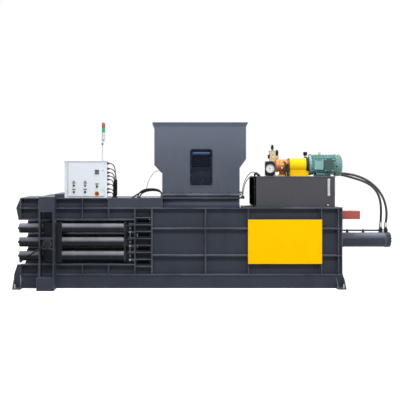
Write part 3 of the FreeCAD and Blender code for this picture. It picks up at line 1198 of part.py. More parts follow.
def push_button(name):
    x, z = CONTROLS[name]
    return node(name, turned(name + "_turning", "Y", (x, f"-{FACE} - bezel_rise - button_proud", z), [
        ("0", "0"), ("0", "button_radius - 2"), ("2", "button_radius"),
        ("button_proud + bezel_rise + button_sink", "button_radius"),
        ("button_proud + bezel_rise + button_sink", "0")]))


def emergency_stop():
    x, z = CONTROLS["emergency_stop"]
    return node("emergency_stop", turned("stop_turning", "Y", (x, f"-{FACE} - bezel_rise - stop_proud", z),
                                         [
        ("0", "0"), ("stop_dome", "stop_radius * crown_share"), ("stop_curve", "stop_radius"),
        ("stop_side", "stop_radius"), ("stop_under", "button_radius"),
        ("stop_proud + bezel_rise + stop_sink", "button_radius"),
        ("stop_proud + bezel_rise + stop_sink", "0")]))


def mode_selector():
    """A round selector with a raised grip across its face."""
    x, z = CONTROLS["mode_selector"]
    stem = turned("selector_turning", "Y", (x, f"-{FACE} - bezel_rise - selector_back", z), [
        ("0", "0"), ("0", "button_radius"), ("bezel_rise + selector_stem", "button_radius"),
        ("bezel_rise + selector_stem", "0")])
    grip = box("selector_grip", (f"({x}) - grip_half", f"({x}) + grip_half"),
               near(f"{FACE} + bezel_rise + selector_back",
                    f"{FACE} + bezel_rise + selector_back + grip_reach"),
               (f"({z}) - grip_rise", f"({z}) + grip_rise"))
    return node("mode_selector", fuse("selector_joined", [stem, grip]))


cabinet_shell()
cabinet_door()
switch_bodies()
for button in ("start_button", "stop_button", "advance_button", "retract_button"):
    push_button(button)
mode_selector()
emergency_stop()

STACK = ("stack_x + stack_shift", "stack_y")
node("stack_pole", fuse("stack_pole_joined", [
    rod("stack_foot", "Z", "stack_foot", ("stack_x", "stack_y", "cabinet_top"), "stack_foot_t"),
    rod("stack_tube", "Z", "stack_pole", ("stack_x", "stack_y", "cabinet_top"), "pole_height"),
    box("stack_bracket", ("stack_x - bracket_half", "stack_x + stack_shift + bracket_reach"),
        ("stack_y - bracket_reach", "stack_y + bracket_reach"),
        ("cabinet_top + pole_height - bracket_drop", "cabinet_top + pole_height + bracket_rise")),
    rod("stack_base", "Z", "stack_module", STACK + ("cabinet_top + pole_height + bracket_rise",),
        "base_module")]))
LENS_Z = "(cabinet_top + pole_height + bracket_rise + base_module)"
node("green_lens", turned("green_lens_turning", "Z", STACK + (LENS_Z,),
                          ring_profile("lens_height", "stack_module", "stack_module - lens_wall")))
node("red_lens", turned("red_lens_turning", "Z", STACK + (f"{LENS_Z} + lens_height",), [
    ("0", "stack_module - lens_wall"), ("lens_height", "stack_module - lens_wall"), ("lens_height", "0"),
    ("lens_height + lens_cap", "0"),
    ("lens_height + lens_shoulder", "stack_module * crown_share"), ("lens_height + lens_lip", "stack_module"),
    ("0", "stack_module")]))


# ---------------------------------------------------------------- cords, held at both ends
def cord_tube(name, route, radius):
    """A tube of straight runs joined by tangent arcs along a route of chosen points."""
    spots = [Vector(*p) for p in route]
    edges = []
    start = spots[0]
    radii = []
    for before, here, after in zip(spots, spots[1:], spots[2:]):
        back, ahead = (before - here), (after - here)
        shorter = min(back.Length, ahead.Length)
        half_turn = (math.pi - back.getAngle(ahead)) / 2
        trim = 0.45 * shorter
        radii.append(trim / math.tan(half_turn))
        back.normalize()
        ahead.normalize()
        enter, leave = here + back * trim, here + ahead * trim
        bisector = back + ahead
        bisector.normalize()
        middle = here + bisector * radii[-1] * (1 / math.cos(half_turn) - 1)
        edges.append(Part.LineSegment(start, enter).toShape())
        edges.append(Part.Arc(enter, middle, leave).toShape())
        start = leave
    edges.append(Part.LineSegment(start, spots[-1]).toShape())
    path = Part.Wire(edges)
    disc = Part.Wire(Part.makeCircle(radius, spots[0], spots[1] - spots[0]))
    tube = path.makePipeShell([disc], True, False)
    expected = math.pi * radius ** 2 * path.Length
    ratio = tube.Volume / expected
    print(f"{name}: length {path.Length:.0f}, tightest radius {min(radii):.0f}, volume ratio {ratio:.4f}")
    made = DOC.addObject("Part::Feature", name)
    made.Shape = tube
    return made


PRESSURE_ROUTE = [(2660, 170, 1953), (2800, 170, 1948), (2960, 165, 1920), (3140, 150, 1868),
                  (3300, 125, 1815),
                  (3430, 90, 1740), (3525, 50, 1625), (3570, 20, 1470), (3580, 5, 1300), (3572, 0, 1150),
                  (3568, 0, 1028)]
RETURN_ROUTE = [(2660, 250, 1953), (2810, 250, 1962), (2980, 243, 1955), (3150, 225, 1925),
                (3310, 195, 1868),
                (3450, 150, 1775), (3560, 100, 1655), (3635, 55, 1515), (3672, 20, 1360), (3678, 3, 1210),
                (3662, 0, 1110), (3656, 0, 1028)]
node("pressure_hose", cord_tube("pressure_hose_tube", PRESSURE_ROUTE, value("hose_radius")))
node("return_hose", cord_tube("return_hose_tube", RETURN_ROUTE, value("hose_radius")))

# each cabinet cable leaves its gland level, turns down and drops to the deck's inlet
CABINET_ROUTES = [
    [(-1196, -532, 2127), (-1160, -532, 2125), (-1120, -532, 2100), (-1096, -532, 2052),
     (-1086, -532, 1960), (-1080, -532, 1820), (-1078, -533, 1680), (-1082, -534, 1554)],
    [(-1196, -510, 2038), (-1158, -510, 2036), (-1114, -510, 2010), (-1088, -510, 1962),
     (-1076, -510, 1880), (-1069, -510, 1770), (-1067, -511, 1655), (-1071, -512, 1554)],
    [(-1196, -532, 1970), (-1160, -532, 1968), (-1126, -532, 1948), (-1108, -532, 1910),
     (-1101, -532, 1845), (-1098, -532, 1745), (-1099, -533, 1645), (-1102, -534, 1554)],
    [(-1196, -510, 1912), (-1160, -510, 1910), (-1124, -510, 1888), (-1104, -510, 1850),
     (-1095, -510, 1785), (-1089, -510, 1700), (-1088, -511, 1620), (-1092, -512, 1554)],
    [(-1196, -532, 1852), (-1166, -532, 1851), (-1139, -532, 1835), (-1124, -532, 1807),
     (-1120, -532, 1752), (-1118, -532, 1682), (-1120, -533, 1612), (-1124, -534, 1554)],
    [(-1196, -510, 1773), (-1164, -510, 1772), (-1134, -510, 1755), (-1117, -510, 1723),
     (-1111, -510, 1672), (-1109, -510, 1612), (-1112, -511, 1554)],
    [(-1196, -488, 1690), (-1160, -488, 1689), (-1126, -488, 1668), (-1107, -488, 1632),
     (-1102, -488, 1590), (-1101, -489, 1554)],
    [(-1196, -488, 1632), (-1166, -488, 1631), (-1139, -488, 1615), (-1124, -488, 1587),
     (-1122, -489, 1554)],
]
node("cabinet_cables", grouped("cabinet_cable_group", [
    cord_tube("cabinet_cable", route, value("cable_radius")) for route in CABINET_ROUTES]))

HOPPER_ROUTES = [
    [(-704, -505, 1558), (-690, -505, 1606), (-650, -504, 1650), (-585, -502, 1682), (-505, -500, 1694),
     (-425, -500, 1692), (-365, -500, 1680), (-324, -503, 1658), (-301, -504, 1627)],
    [(-672, -478, 1558), (-652, -478, 1598), (-606, -479, 1632), (-540, -480, 1655), (-465, -480, 1664),
     (-398, -480, 1662), (-344, -478, 1650), (-305, -477, 1629)],
]
SENSOR_ROUTE = [(-556, -500, 1698), (-545, -500, 1752), (-520, -500, 1825), (-484, -500, 1900),
                (-436, -500, 1962),
                (-386, -500, 1995), (-337, -500, 2004)]
node("hopper_cables", grouped("hopper_cable_group",
                              [cord_tube("hopper_cable", route,
                                         value("hopper_cable_radius")) for route in HOPPER_ROUTES]))
TANK_ROUTES = [
    [(1345, -470, 1917), (1318, -470, 1962), (1270, -470, 1985), (1218, -470, 1962), (1172, -470, 1908),
     (1130, -470, 1830), (1102, -470, 1740), (1088, -470, 1650), (1086, -470, 1568)],
    [(1294, -440, 1885), (1250, -440, 1895), (1205, -440, 1880), (1160, -440, 1832), (1130, -440, 1760),
     (1112, -440, 1680), (1104, -440, 1615), (1104, -440, 1568)],
]
node("thin_wires", grouped("thin_wire_group", [
    cord_tube("sensor_wire", SENSOR_ROUTE, value("wire_radius"))] + [
    cord_tube("tank_wire", route, value("tank_wire_radius")) for route in TANK_ROUTES]))


def cable_fittings():
    """Cabinet glands, deck and hopper inlets, the throat's junction box and the hopper's sensor strip."""
    made = [rod("cabinet_gland", "X", "gland_radius", ("cabinet_right", f"{route[0][1]}", f"{route[0][2]}"),
                "gland_reach")
            for route in CABINET_ROUTES]
    made.append(box("cable_inlet", ("inlet_left", "inlet_right"), near("inlet_back", "inlet_front"),
                    ("band_top", "band_top + inlet_t")))
    for route in HOPPER_ROUTES:
        made.append(rod("deck_gland", "Z", "gland_radius", (f"{route[0][0]}", f"{route[0][1]}", "band_top"),
                        "deck_gland_t"))
    made.append(box("hopper_inlet", ("neck_left - seat_flange", "neck_left"),
                    near("seat_inlet_back", "seat_inlet_front"),
                    ("hopper_seat", "hopper_seat + seat_inlet_t")))
    made.append(box("throat_junction", ("throat_right + plate + seat_flange",
                                        "throat_right + plate + seat_flange + junction_length"),
                    near("junction_back", "junction_front"),
                    ("band_top - junction_drop", "band_top + junction_rise")))
    made.append(rod("tank_terminal", "Z", "terminal_gland",
                    ("tank_left + terminal_gland_inset", "-terminal_gland_y", "tank_top"),
                    "terminal_gland_t"))
    made.append(rod("tank_side_gland", "X", "side_gland",
                    ("tank_left - tank_rim - side_gland_reach", "-side_gland_y",
                     "tank_top - side_gland_drop"), "side_gland_reach + tank_rim"))
    strip = [("hopper_left", "taper_left_top"), ("neck_left", "taper_left_top - taper_drop"),
             ("neck_left - strip_neck", "taper_left_top - taper_drop"),
             ("hopper_left - strip_side", "taper_left_top - strip_drop")]
    made.append(padded("sensor_strip", "XZ_Plane", strip, "strip_width", ("0", "-strip_near", "0")))
    return node("cable_fittings", grouped("cable_fitting_group", made))


cable_fittings()

# ---------------------------------------------------------------- check and write
DOC.recompute()
faults = [o.Name for o in DOC.Objects if "Invalid" in o.State or "Error" in o.State]
for obj in PARTS:
    if obj.Shape.isNull() or not obj.Shape.isValid():
        faults.append(obj.Label + " has no valid shape")
if faults:
    raise RuntimeError("; ".join(faults))
os.makedirs("parts", exist_ok=True)
for obj in PARTS:
    obj.Shape.exportStep(f"parts/{obj.Label}.step")
print(len(PARTS), "sub-parts written")
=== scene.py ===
"""The looks of a horizontal recycling baler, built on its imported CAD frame."""
import math

import bmesh
import bpy
from bpy.props import FloatProperty, FloatVectorProperty, IntProperty, PointerProperty
from bpy.types import Operator, Panel, PropertyGroup
from mathutils import Matrix, Vector


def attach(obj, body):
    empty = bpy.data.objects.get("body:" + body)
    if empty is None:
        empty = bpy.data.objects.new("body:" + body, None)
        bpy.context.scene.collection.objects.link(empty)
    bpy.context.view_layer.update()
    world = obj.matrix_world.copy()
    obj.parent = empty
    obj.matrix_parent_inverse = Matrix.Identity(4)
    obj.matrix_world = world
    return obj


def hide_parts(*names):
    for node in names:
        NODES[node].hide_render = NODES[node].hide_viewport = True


bl_info = {
    "name": "Recycling Baler",
    "version": (1, 0, 0),
    "blender": (4, 5, 0),
    "location": "3D View > Sidebar > Baler",
    "description": "Finishes, fittings, hoses and cables of a horizontal baler",
    "category": "Object",
}

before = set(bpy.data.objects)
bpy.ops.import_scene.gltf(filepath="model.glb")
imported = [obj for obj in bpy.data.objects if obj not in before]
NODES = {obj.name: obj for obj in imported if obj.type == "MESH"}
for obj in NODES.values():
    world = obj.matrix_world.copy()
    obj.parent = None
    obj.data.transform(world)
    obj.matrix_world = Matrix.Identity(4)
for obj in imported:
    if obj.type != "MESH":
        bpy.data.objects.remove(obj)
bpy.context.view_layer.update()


def paint(red, green, blue):
    """A colour as it is mixed, 0 to 255, in Blender's linear values."""
    shares = (value / 255 for value in (red, green, blue))
    return tuple(share / 12.92 if share <= 0.04 else ((share + 0.055) / 1.055) ** 2.4 for share in shares)


def colour(name, value, note):
    """A paint that a user may change."""
    return FloatVectorProperty(name=name, description=note, subtype="COLOR", size=3, min=0, max=1,
                               default=value)


def size(name, value, note):
    """A length in metres that a user may change."""
    return FloatProperty(name=name, description=note, unit="LENGTH", min=0, default=value)


class BalerColours(PropertyGroup):
    body: colour("Body", paint(52, 57, 68), "Anthracite paint of the press box and frame")
    hopper: colour("Hopper", paint(74, 80, 92), "Grey paint of the hopper")
    # The edge colour is worn paint and also a painted highlight where edges catch the light.
    skirt: colour("Edges", paint(112, 115, 126), "Worn paint on edges that catch the light")
    cover: colour("Cover", paint(252, 196, 0), "Yellow paint of the side cover")
    bell: colour("Bell housing", paint(255, 200, 8), "Yellow paint between motor and pump")
    cabinet: colour("Cabinet", paint(212, 218, 225), "Pale powder coat of the control cabinet")
    motor: colour("Motor", paint(112, 152, 150), "Green-teal paint of the motor")
    pump: colour("Pump", paint(196, 130, 78), "Copper-tan paint of the pump")
    shield: colour("Ram tail", paint(168, 90, 80), "Red paint of the ram's tail")


class BalerSizes(PropertyGroup):
    hex_head: size("Hex head", 0.030, "Across the flats of the cylinder flange's bolts")
    small_head: size("Small head", 0.016, "Across the heads of the side cover's screws")
    fin_count: IntProperty(name="Fan grille bars", description="Bars of the fan cover's grille", min=3,
                           default=9)


# ------------------------------------------------------------------ finishes
PATCH_SCALE = 1.7
RUN_SCALE = 6.0
RUN_STRETCH = (4.0, 4.0, 0.25)
PAINT_GRAIN = 90.0
MARK_SCALE = 14.0
TARNISH_SCALE = 5.0
MOTTLE_SCALE = 25.0
PORE_GRAIN = 400.0
PORE_DEPTH = 0.0002
MARK_DEPTH = 0.0003
EDGE_WEAR_AND_SHEEN_WIDTH = 0.009
PAINT_ROUND = 0.004
METAL_ROUND = 0.002
SHEET_IOR = 1.49


class Nodes:
    """A thin hand on a node tree: add a node, set its inputs, link by assignment."""

    def __init__(self, tree):
        self.tree = tree

    def add(self, kind, inputs=None, **settings):
        node = self.tree.nodes.new(kind)
        for name, value in settings.items():
            setattr(node, name, value)
        for name, value in (inputs or {}).items():
            self.give(node.inputs[name], value)
        return node

    def give(self, socket, value):
        if isinstance(value, bpy.types.NodeSocket):
            self.tree.links.new(value, socket)
        else:
            socket.default_value = value

    def maths(self, operation, first, second):
        return self.add("ShaderNodeMath", {0: first, 1: second}, operation=operation).outputs[0]

    def surface(self, inputs):
        """A principled surface with these inputs, on the tree's output."""
        shader = self.add("ShaderNodeBsdfPrincipled", inputs)
        self.add("ShaderNodeOutputMaterial", {"Surface": shader.outputs["BSDF"]})


FINISHES = {}


def blank(name):
    """A new finish with an empty node tree."""
    made = bpy.data.materials.new(name)
    made.use_nodes = True
    made.node_tree.nodes.clear()
    FINISHES[name] = made
    return Nodes(made.node_tree)


def noise(nodes, scale, detail=3.0, stretch=(1, 1, 1), distortion=0.0):
    """A noise value on the object's own coordinates, stretched along its axes."""
    place = nodes.add("ShaderNodeTexCoord").outputs["Object"]
    turned = nodes.add("ShaderNodeMapping", {"Vector": place, "Scale": stretch})
    made = nodes.add("ShaderNodeTexNoise", {"Vector": turned.outputs["Vector"], "Scale": scale,
                                            "Detail": detail, "Distortion": distortion})
    return made.outputs["Fac"]


def ramp(nodes, value, low, high, start=0.0, end=1.0):
    """A value between low and high carried over to start and end, and held there beyond them."""
    return nodes.add("ShaderNodeMapRange", {"Value": value, "From Min": low, "From Max": high,
                                            "To Min": start, "To Max": end}).outputs["Result"]


def blend(nodes, amount, first, second):
    """A mix of two colours, each a socket or red, green and blue."""
    made = nodes.add("ShaderNodeMix", data_type="RGBA")
    nodes.give(made.inputs["Factor"], amount)
    for name, value in (("A", first), ("B", second)):
        plain = hasattr(value, "__len__")
        nodes.give(made.inputs[name], tuple(value)[:3] + (1.0,) if plain else value)
    return made.outputs["Result"]


def height_of(nodes, vector):
    """A vector's upward share."""
    return nodes.add("ShaderNodeSeparateXYZ", {0: vector}).outputs["Z"]


def softened(nodes, radius, samples=4):
    """The surface's direction with its edges rounded for the light alone."""
    return nodes.add("ShaderNodeBevel", {"Radius": radius}, samples=samples).outputs["Normal"]


def bumps(nodes, height, distance, strength, *normal):
    """The surface's direction as a fine height pattern tilts it."""
    inputs = {"Height": height, "Distance": distance, "Strength": strength}
    inputs.update(zip(["Normal"], normal))
    return nodes.add("ShaderNodeBump", inputs).outputs["Normal"]


def shade(value, factor):
    """A colour made lighter or darker, held below full white."""
    return tuple(min(1.0, c * factor) for c in value)


def worn_and_lit_edge(nodes, noise_value):
    """How far a point lies on an outer edge, broken up so that it isn't even: worn paint, and a painted
    highlight on edges that catch the light.
    """
    rounded = softened(nodes, EDGE_WEAR_AND_SHEEN_WIDTH, samples=6)
    true = nodes.add("ShaderNodeNewGeometry").outputs["True Normal"]
    dot = nodes.add("ShaderNodeVectorMath", {0: rounded, 1: true}, operation="DOT_PRODUCT").outputs["Value"]
    edge = ramp(nodes, dot, 0.995, 0.86)
    return nodes.maths("MULTIPLY", edge, ramp(nodes, noise_value, 0.35, 0.62))


def coat(name, base, rough=0.42, edge=None, streaks=0.12, peel=0.0006, gloss=0.0, metallic=0.0, dust_and_sheen=None,
         dust_and_sheen_rise=(0.6, 1.0), specular=0.16, paling_heights=None):
    """Machine paint: tone that wanders over the plate, rain streaks, and edges lighter as worn paint and as
    painted highlight.

    Dust and a painted highlight lie where the surface looks up by dust_and_sheen_rise's share; the tone pales
    between paling_heights' two heights.
    """
    nodes = blank(name)
    patches = noise(nodes, PATCH_SCALE, 5.0, distortion=0.4)
    grain = noise(nodes, PAINT_GRAIN, 2.0)
    runs = noise(nodes, RUN_SCALE, 4.0, stretch=RUN_STRETCH)
    tone = blend(nodes, ramp(nodes, patches, 0.3, 0.7), shade(base, 1 - streaks), shade(base, 1 + streaks))
    tone = blend(nodes, ramp(nodes, runs, 0.52, 0.75, 0.0, streaks * 2.2), tone, shade(base, 1.35))
    # The tone turns paler towards the top, between two heights.
    if paling_heights is not None:
        height = height_of(nodes, nodes.add("ShaderNodeTexCoord").outputs["Object"])
        tone = blend(nodes, ramp(nodes, height, *paling_heights), tone, shade(base, 1.5))
    # Upward faces take a lighter tone: dust, and a painted highlight where light from above falls on them.
    if dust_and_sheen is not None:
        up = height_of(nodes, nodes.add("ShaderNodeNewGeometry").outputs["Normal"])
        looks_up = ramp(nodes, up, *dust_and_sheen_rise)
        dust_and_sheen_share = nodes.maths("MULTIPLY", looks_up, ramp(nodes, patches, 0.25, 0.8, 0.25, 0.7))
        tone = blend(nodes, dust_and_sheen_share, tone, dust_and_sheen)
    if edge is not None:
        tone = blend(nodes, worn_and_lit_edge(nodes, patches), tone, edge)
    roughness = ramp(nodes, patches, 0.3, 0.7, rough - 0.06, rough + 0.08)
    skin = bumps(nodes, grain, peel, 0.35, softened(nodes, PAINT_ROUND))
    nodes.surface({"Base Color": tone, "Roughness": roughness, "Metallic": metallic, "Coat Weight": gloss,
                   "Coat Roughness": 0.24, "Specular IOR Level": specular, "Normal": skin})


def metal(name, base, rough=0.3, brush=(1, 1, 60), tarnish=0.25):
    """Bare metal: turning or grinding marks along one way and a faint tarnish."""
    nodes = blank(name)
    marks = noise(nodes, MARK_SCALE, 3.0, stretch=brush)
    patches = noise(nodes, TARNISH_SCALE, 4.0)
    tone = blend(nodes, ramp(nodes, patches, 0.35, 0.75, 0.0, tarnish), base, shade(base, 0.45))
    skin = bumps(nodes, marks, MARK_DEPTH, 0.3, softened(nodes, METAL_ROUND))
    nodes.surface({"Base Color": tone, "Roughness": ramp(nodes, marks, 0.3, 0.7, rough - 0.08, rough + 0.12),
                   "Metallic": 1.0, "Normal": skin})


def moulded(name, base, rough=0.4, gloss=0.0, emission=0.0, specular=0.25):
    """Moulded plastic or rubber: a fine even grain and slight mottling."""
    nodes = blank(name)
    mottle = noise(nodes, MOTTLE_SCALE, 3.0)
    pores = noise(nodes, PORE_GRAIN, 2.0)
    tone = blend(nodes, ramp(nodes, mottle, 0.3, 0.7), shade(base, 0.86), shade(base, 1.12))
    skin = bumps(nodes, pores, PORE_DEPTH, 0.4)
    roughness = ramp(nodes, mottle, 0.3, 0.7, rough - 0.05, rough + 0.08)
    nodes.surface({"Base Color": tone, "Roughness": roughness, "Coat Weight": gloss, "Coat Roughness": 0.1,
                   "Normal": skin, "Specular IOR Level": specular,
                   "Emission Color": tuple(base) + (1.0,), "Emission Strength": emission})


def clear(name, base, rough=0.06, alpha=0.35, film_scale=12.0):
    """Clear sheet: a faint tint with a dusty film that follows the surface."""
    nodes = blank(name)
    film = noise(nodes, film_scale, 2.0)
    nodes.surface({"Base Color": blend(nodes, ramp(nodes, film, 0.35, 0.7), base, shade(base, 1.3)),
                   "Roughness": ramp(nodes, film, 0.3, 0.7, rough, rough + 0.1), "Alpha": alpha,
                   "IOR": SHEET_IOR, "Specular IOR Level": 0.12})


def mix_finishes(tints):
    """Every finish of the machine, from the colours that a user may change."""
    body, edge = tuple(tints.body), tuple(tints.skirt)
    # Light tone for upward faces of frame and tank: painted highlight on flange tops, with some dust.
    dust_and_sheen = shade(body, 3.2)
    coat("anthracite", body, 0.40, shade(edge, 1.5), dust_and_sheen=dust_and_sheen)
    # A darker copy of the body paint: painted shade, on the bay sheets and the bars' end plugs.
    coat("anthracite_deep", shade(body, 0.55), 0.5, shade(edge, 0.8))
    # Squeeze bars and walls: dark paint, its base also darkened as painted shade of the squeeze zone; the
    # lighter tone on the bars' upper sides is a painted highlight.
    coat("bar_paint", shade(body, 0.3), 0.26, shade(edge, 0.5), streaks=0.1, peel=0.0001,
         dust_and_sheen=paint(196, 200, 210), dust_and_sheen_rise=(0.05, 0.8), specular=0.12)
    # Cylinder barrel: the lighter tone on its upper side is a painted highlight.
    coat("barrel_paint", shade(body, 1.1), 0.26, shade(edge, 0.8), streaks=0.1, peel=0.0001,
         dust_and_sheen=paint(176, 182, 198), dust_and_sheen_rise=(0.2, 0.9), specular=0.16)
    coat("tank_grey", paint(70, 70, 75), 0.42, shade(edge, 1.3), streaks=0.06, dust_and_sheen=dust_and_sheen)
    coat("hopper_grey", tuple(tints.hopper), 0.38, shade(edge, 1.4), dust_and_sheen=shade(tints.hopper, 1.5),
         paling_heights=(2.0, 2.8))
    coat("cover_yellow", tuple(tints.cover), 0.55, streaks=0.03, specular=0.03)
    coat("bell_yellow", tuple(tints.bell), 0.42, streaks=0.05, specular=0.1)
    coat("cabinet_coat", tuple(tints.cabinet), 0.45, streaks=0.02, peel=0.0003)
    # Motor: the lighter tone on its upper side is a painted highlight.
    coat("motor_teal", tuple(tints.motor), 0.36, shade(tints.motor, 1.25), streaks=0.06, gloss=0.25,
         dust_and_sheen=shade(tints.motor, 2.2), dust_and_sheen_rise=(0.3, 1.0))
    # Darker copies of the motor paint: painted shade on the fan cover, and on the terminal box, lid, grille
    # and foot pads.
    coat("fan_teal", shade(tints.motor, 0.8), 0.45, shade(tints.motor, 1.1), streaks=0.06)
    coat("teal_deep", shade(tints.motor, 0.30), 0.42, shade(tints.motor, 0.5), streaks=0.06)
    coat("pump_copper", tuple(tints.pump), 0.36, shade(tints.pump, 1.3), streaks=0.10, metallic=0.35)
    coat("valve_tan", paint(204, 180, 136), 0.40, streaks=0.08, metallic=0.1)
    coat("tail_red", tuple(tints.shield), 0.42, shade(tints.shield, 1.35), streaks=0.08,
         dust_and_sheen=shade(tints.shield, 1.6))
    coat("satin_black", paint(26, 27, 30), 0.42, paint(70, 72, 76), streaks=0.1)
    metal("machined_steel", paint(176, 178, 182), 0.30)
    metal("dark_steel", paint(72, 74, 80), 0.34, tarnish=0.3)
    metal("ground_chrome", paint(225, 226, 228), 0.12, brush=(60, 1, 1), tarnish=0.05)
    metal("wear_plate", paint(128, 128, 130), 0.42, brush=(60, 2, 1), tarnish=0.5)
    metal("bolt_zinc", paint(188, 188, 186), 0.34, brush=(1, 1, 1))
    metal("bolt_black", paint(62, 63, 66), 0.45, brush=(1, 1, 1))
    moulded("hose_cover", paint(26, 27, 30), 0.34, specular=0.45)
    moulded("cable_jacket", paint(15, 16, 18), 0.5, specular=0.15)
    moulded("nylon_black", paint(34, 35, 38), 0.5)
    moulded("gasket_rubber", paint(14, 14, 16), 0.6, specular=0.1)
    moulded("seam_grey", paint(176, 180, 184), 0.6)
    moulded("button_green", paint(20, 84, 62), 0.3, gloss=0.4)
    moulded("button_red", paint(150, 36, 34), 0.3, gloss=0.4)
    moulded("button_white", paint(120, 124, 140), 0.3, gloss=0.4)
    moulded("button_black", paint(22, 22, 24), 0.3, gloss=0.4)
    moulded("ring_yellow", paint(248, 200, 130), 0.4)
    moulded("legend_grey", paint(112, 116, 120), 0.5)
    moulded("dial_white", paint(238, 240, 240), 0.4)
    moulded("lens_red", paint(138, 52, 44), 0.25, gloss=0.3, emission=0.03)
    moulded("lens_green", paint(46, 156, 92), 0.25, gloss=0.3, emission=0.05)
    moulded("stack_grey", paint(198, 202, 202), 0.42)
    moulded("stack_dark", paint(108, 112, 114), 0.45)
    coat("window_navy", paint(18, 22, 36), 0.30, paint(32, 40, 60), streaks=0.1, specular=0.08)
    # A much lighter copy of the body paint: painted light on the band below the hopper.
    coat("throat_lit_paint", shade(body, 2.3), 0.42, streaks=0.06)
    coat("side_black", paint(24, 24, 26), 0.6, streaks=0.3, specular=0.0)
    coat("window_shadow", paint(14, 18, 24), 0.3, streaks=0.04, peel=0.0001, specular=0.0)
    coat("window_dusk", paint(46, 52, 58), 0.3, streaks=0.12, peel=0.0001, specular=0.0)
    coat("plate_teal", shade(tints.motor, 1.3), 0.35, streaks=0.04)
    coat("coupling_black", paint(34, 48, 46), 0.45, paint(70, 90, 86), streaks=0.1)
    # A darker copy of the pump paint: painted shade on the pump's rear band and pedestal.
    coat("pump_dark", shade(tints.pump, 0.45), 0.42, streaks=0.12, metallic=0.2)
    coat("level_white", paint(214, 218, 222), 0.35, streaks=0.03)
    moulded("oil_amber", paint(150, 118, 52), 0.2, gloss=0.5)
    moulded("lamp_red", paint(110, 40, 44), 0.22, gloss=0.6)
    moulded("lamp_green", paint(30, 78, 62), 0.22, gloss=0.6)
    moulded("screen_dark", paint(30, 44, 44), 0.18, gloss=0.6)
    clear("dial_glass", paint(226, 234, 238), alpha=0.10)
    # Painted glare on the window's upper pane.
    moulded("glare_blue", paint(44, 60, 98), 0.3)
    metal("weld_bead", paint(92, 94, 100), 0.45, brush=(30, 30, 30))
    clear("window_glass", paint(30, 36, 48), rough=0.14, alpha=0.2, film_scale=2.5)
    clear("gauge_glass", paint(214, 222, 222), alpha=0.8)


NODE_FINISH = {
    "anthracite": ["near_wall", "far_wall", "tunnel_beams", "base_frame", "squeeze_yoke", "roof_deck",
                   "rear_bulkhead", "ram_body"],
    "bar_paint": ["near_squeeze_wall", "far_squeeze_wall"],
    "barrel_paint": ["cylinder_barrel"],
    "tank_grey": ["tank"],
    "wear_plate": ["floor_plate", "shear_knife", "ram_knife"],
    "machined_steel": ["piston", "motor_rotor", "shaft_coupling", "pump_shaft"],
    "dark_steel": ["hinge_pins", "near_squeeze_screw", "far_squeeze_screw"],
    "hopper_grey": ["hopper"],
    "window_navy": ["window_frame"],
    "window_glass": ["window_panes"],
    "tail_red": ["ram_tail"],
    "satin_black": ["cylinder_gland", "pipework", "tank_fittings", "relief_knob", "unloading_knob",
                    "gauge_panel", "gauge_needle"],
    "ground_chrome": ["piston_rod"],
    "gauge_glass": ["level_gauge"],
    "motor_teal": ["motor_housing"],
    "fan_teal": ["fan_cover"],
    "teal_deep": ["terminal_box"],
    "bell_yellow": ["bell_housing"],
    "pump_copper": ["pump_body"],
    "valve_tan": ["valve_block"],
    "cover_yellow": ["side_cover"],
    "cabinet_coat": ["cabinet_shell", "cabinet_door"],
    "button_black": ["switch_bodies", "retract_button", "mode_selector"],
    "button_green": ["start_button"],
    "button_red": ["stop_button", "emergency_stop"],
    "button_white": ["advance_button"],
    "nylon_black": ["cable_fittings"],
    "stack_grey": ["stack_pole"],
    "lens_green": ["green_lens"],
    "lens_red": ["red_lens"],
}


# ------------------------------------------------------------------ shapes
AXES = {"X": Matrix.Rotation(math.pi / 2, 4, "Y"), "Y": Matrix.Rotation(-math.pi / 2, 4, "X"), "Z": Matrix(),
        "-X": Matrix.Rotation(-math.pi / 2, 4, "Y"), "-Y": Matrix.Rotation(math.pi / 2, 4, "X")}
BEND_STEPS = 6
FINE_SIDES = 64
OUT = {"-Y": (0, -1, 0), "Y": (0, 1, 0), "X": (1, 0, 0), "-X": (-1, 0, 0), "Z": (0, 0, 1)}


def round_points(radius, count, start=0.0):
    """Pairs on a circle, evenly spaced."""
    angles = [start + 2 * math.pi * i / count for i in range(count)]
    return [(radius * math.cos(angle), radius * math.sin(angle)) for angle in angles]


def add_block(shape, low, high, round_by=0.0):
    """A block between two corners, its edges rounded."""
    made = bmesh.ops.create_cube(shape, size=1.0)["verts"]
    middle = [(a + b) / 2 for a, b in zip(low, high)]
    spans = [abs(b - a) for a, b in zip(low, high)]
    bmesh.ops.transform(shape, matrix=Matrix.Translation(middle) @ Matrix.Diagonal((*spans, 1)), verts=made)
    if round_by:
        edges = list({e for v in made for e in v.link_edges})
        bmesh.ops.bevel(shape, geom=edges, offset=min(round_by, min(spans) * 0.49), segments=2,
                        affect="EDGES", profile=0.5)


def add_turning(shape, place, axis, profile, sides=48, hollow=False):
    """A turning: (station, radius) pairs along an axis from a place; its ends are closed unless hollow."""
    aim = Matrix.Translation(place) @ AXES[axis]
    if not hollow:
        ends = [[(station, 0)] if radius > 0 else [] for station, radius in (profile[0], profile[-1])]
        profile = ends[0] + list(profile) + ends[1]
    rings = [[shape.verts.new(aim @ Vector((a, b, station))) for a, b in round_points(radius, sides)]
             if radius > 0 else [shape.verts.new(aim @ Vector((0, 0, station)))]
             for station, radius in profile]
    pairs = list(zip(rings, rings[1:])) + ([(rings[-1], rings[0])] if hollow else [])
    for low, high in pairs:
        for i in range(sides):
            j = (i + 1) % sides
            corners = [low[i % len(low)], low[j % len(low)], high[j % len(high)], high[i % len(high)]]
            unique = list(dict.fromkeys(corners))
            if len(unique) > 2:
                shape.faces.new(unique)


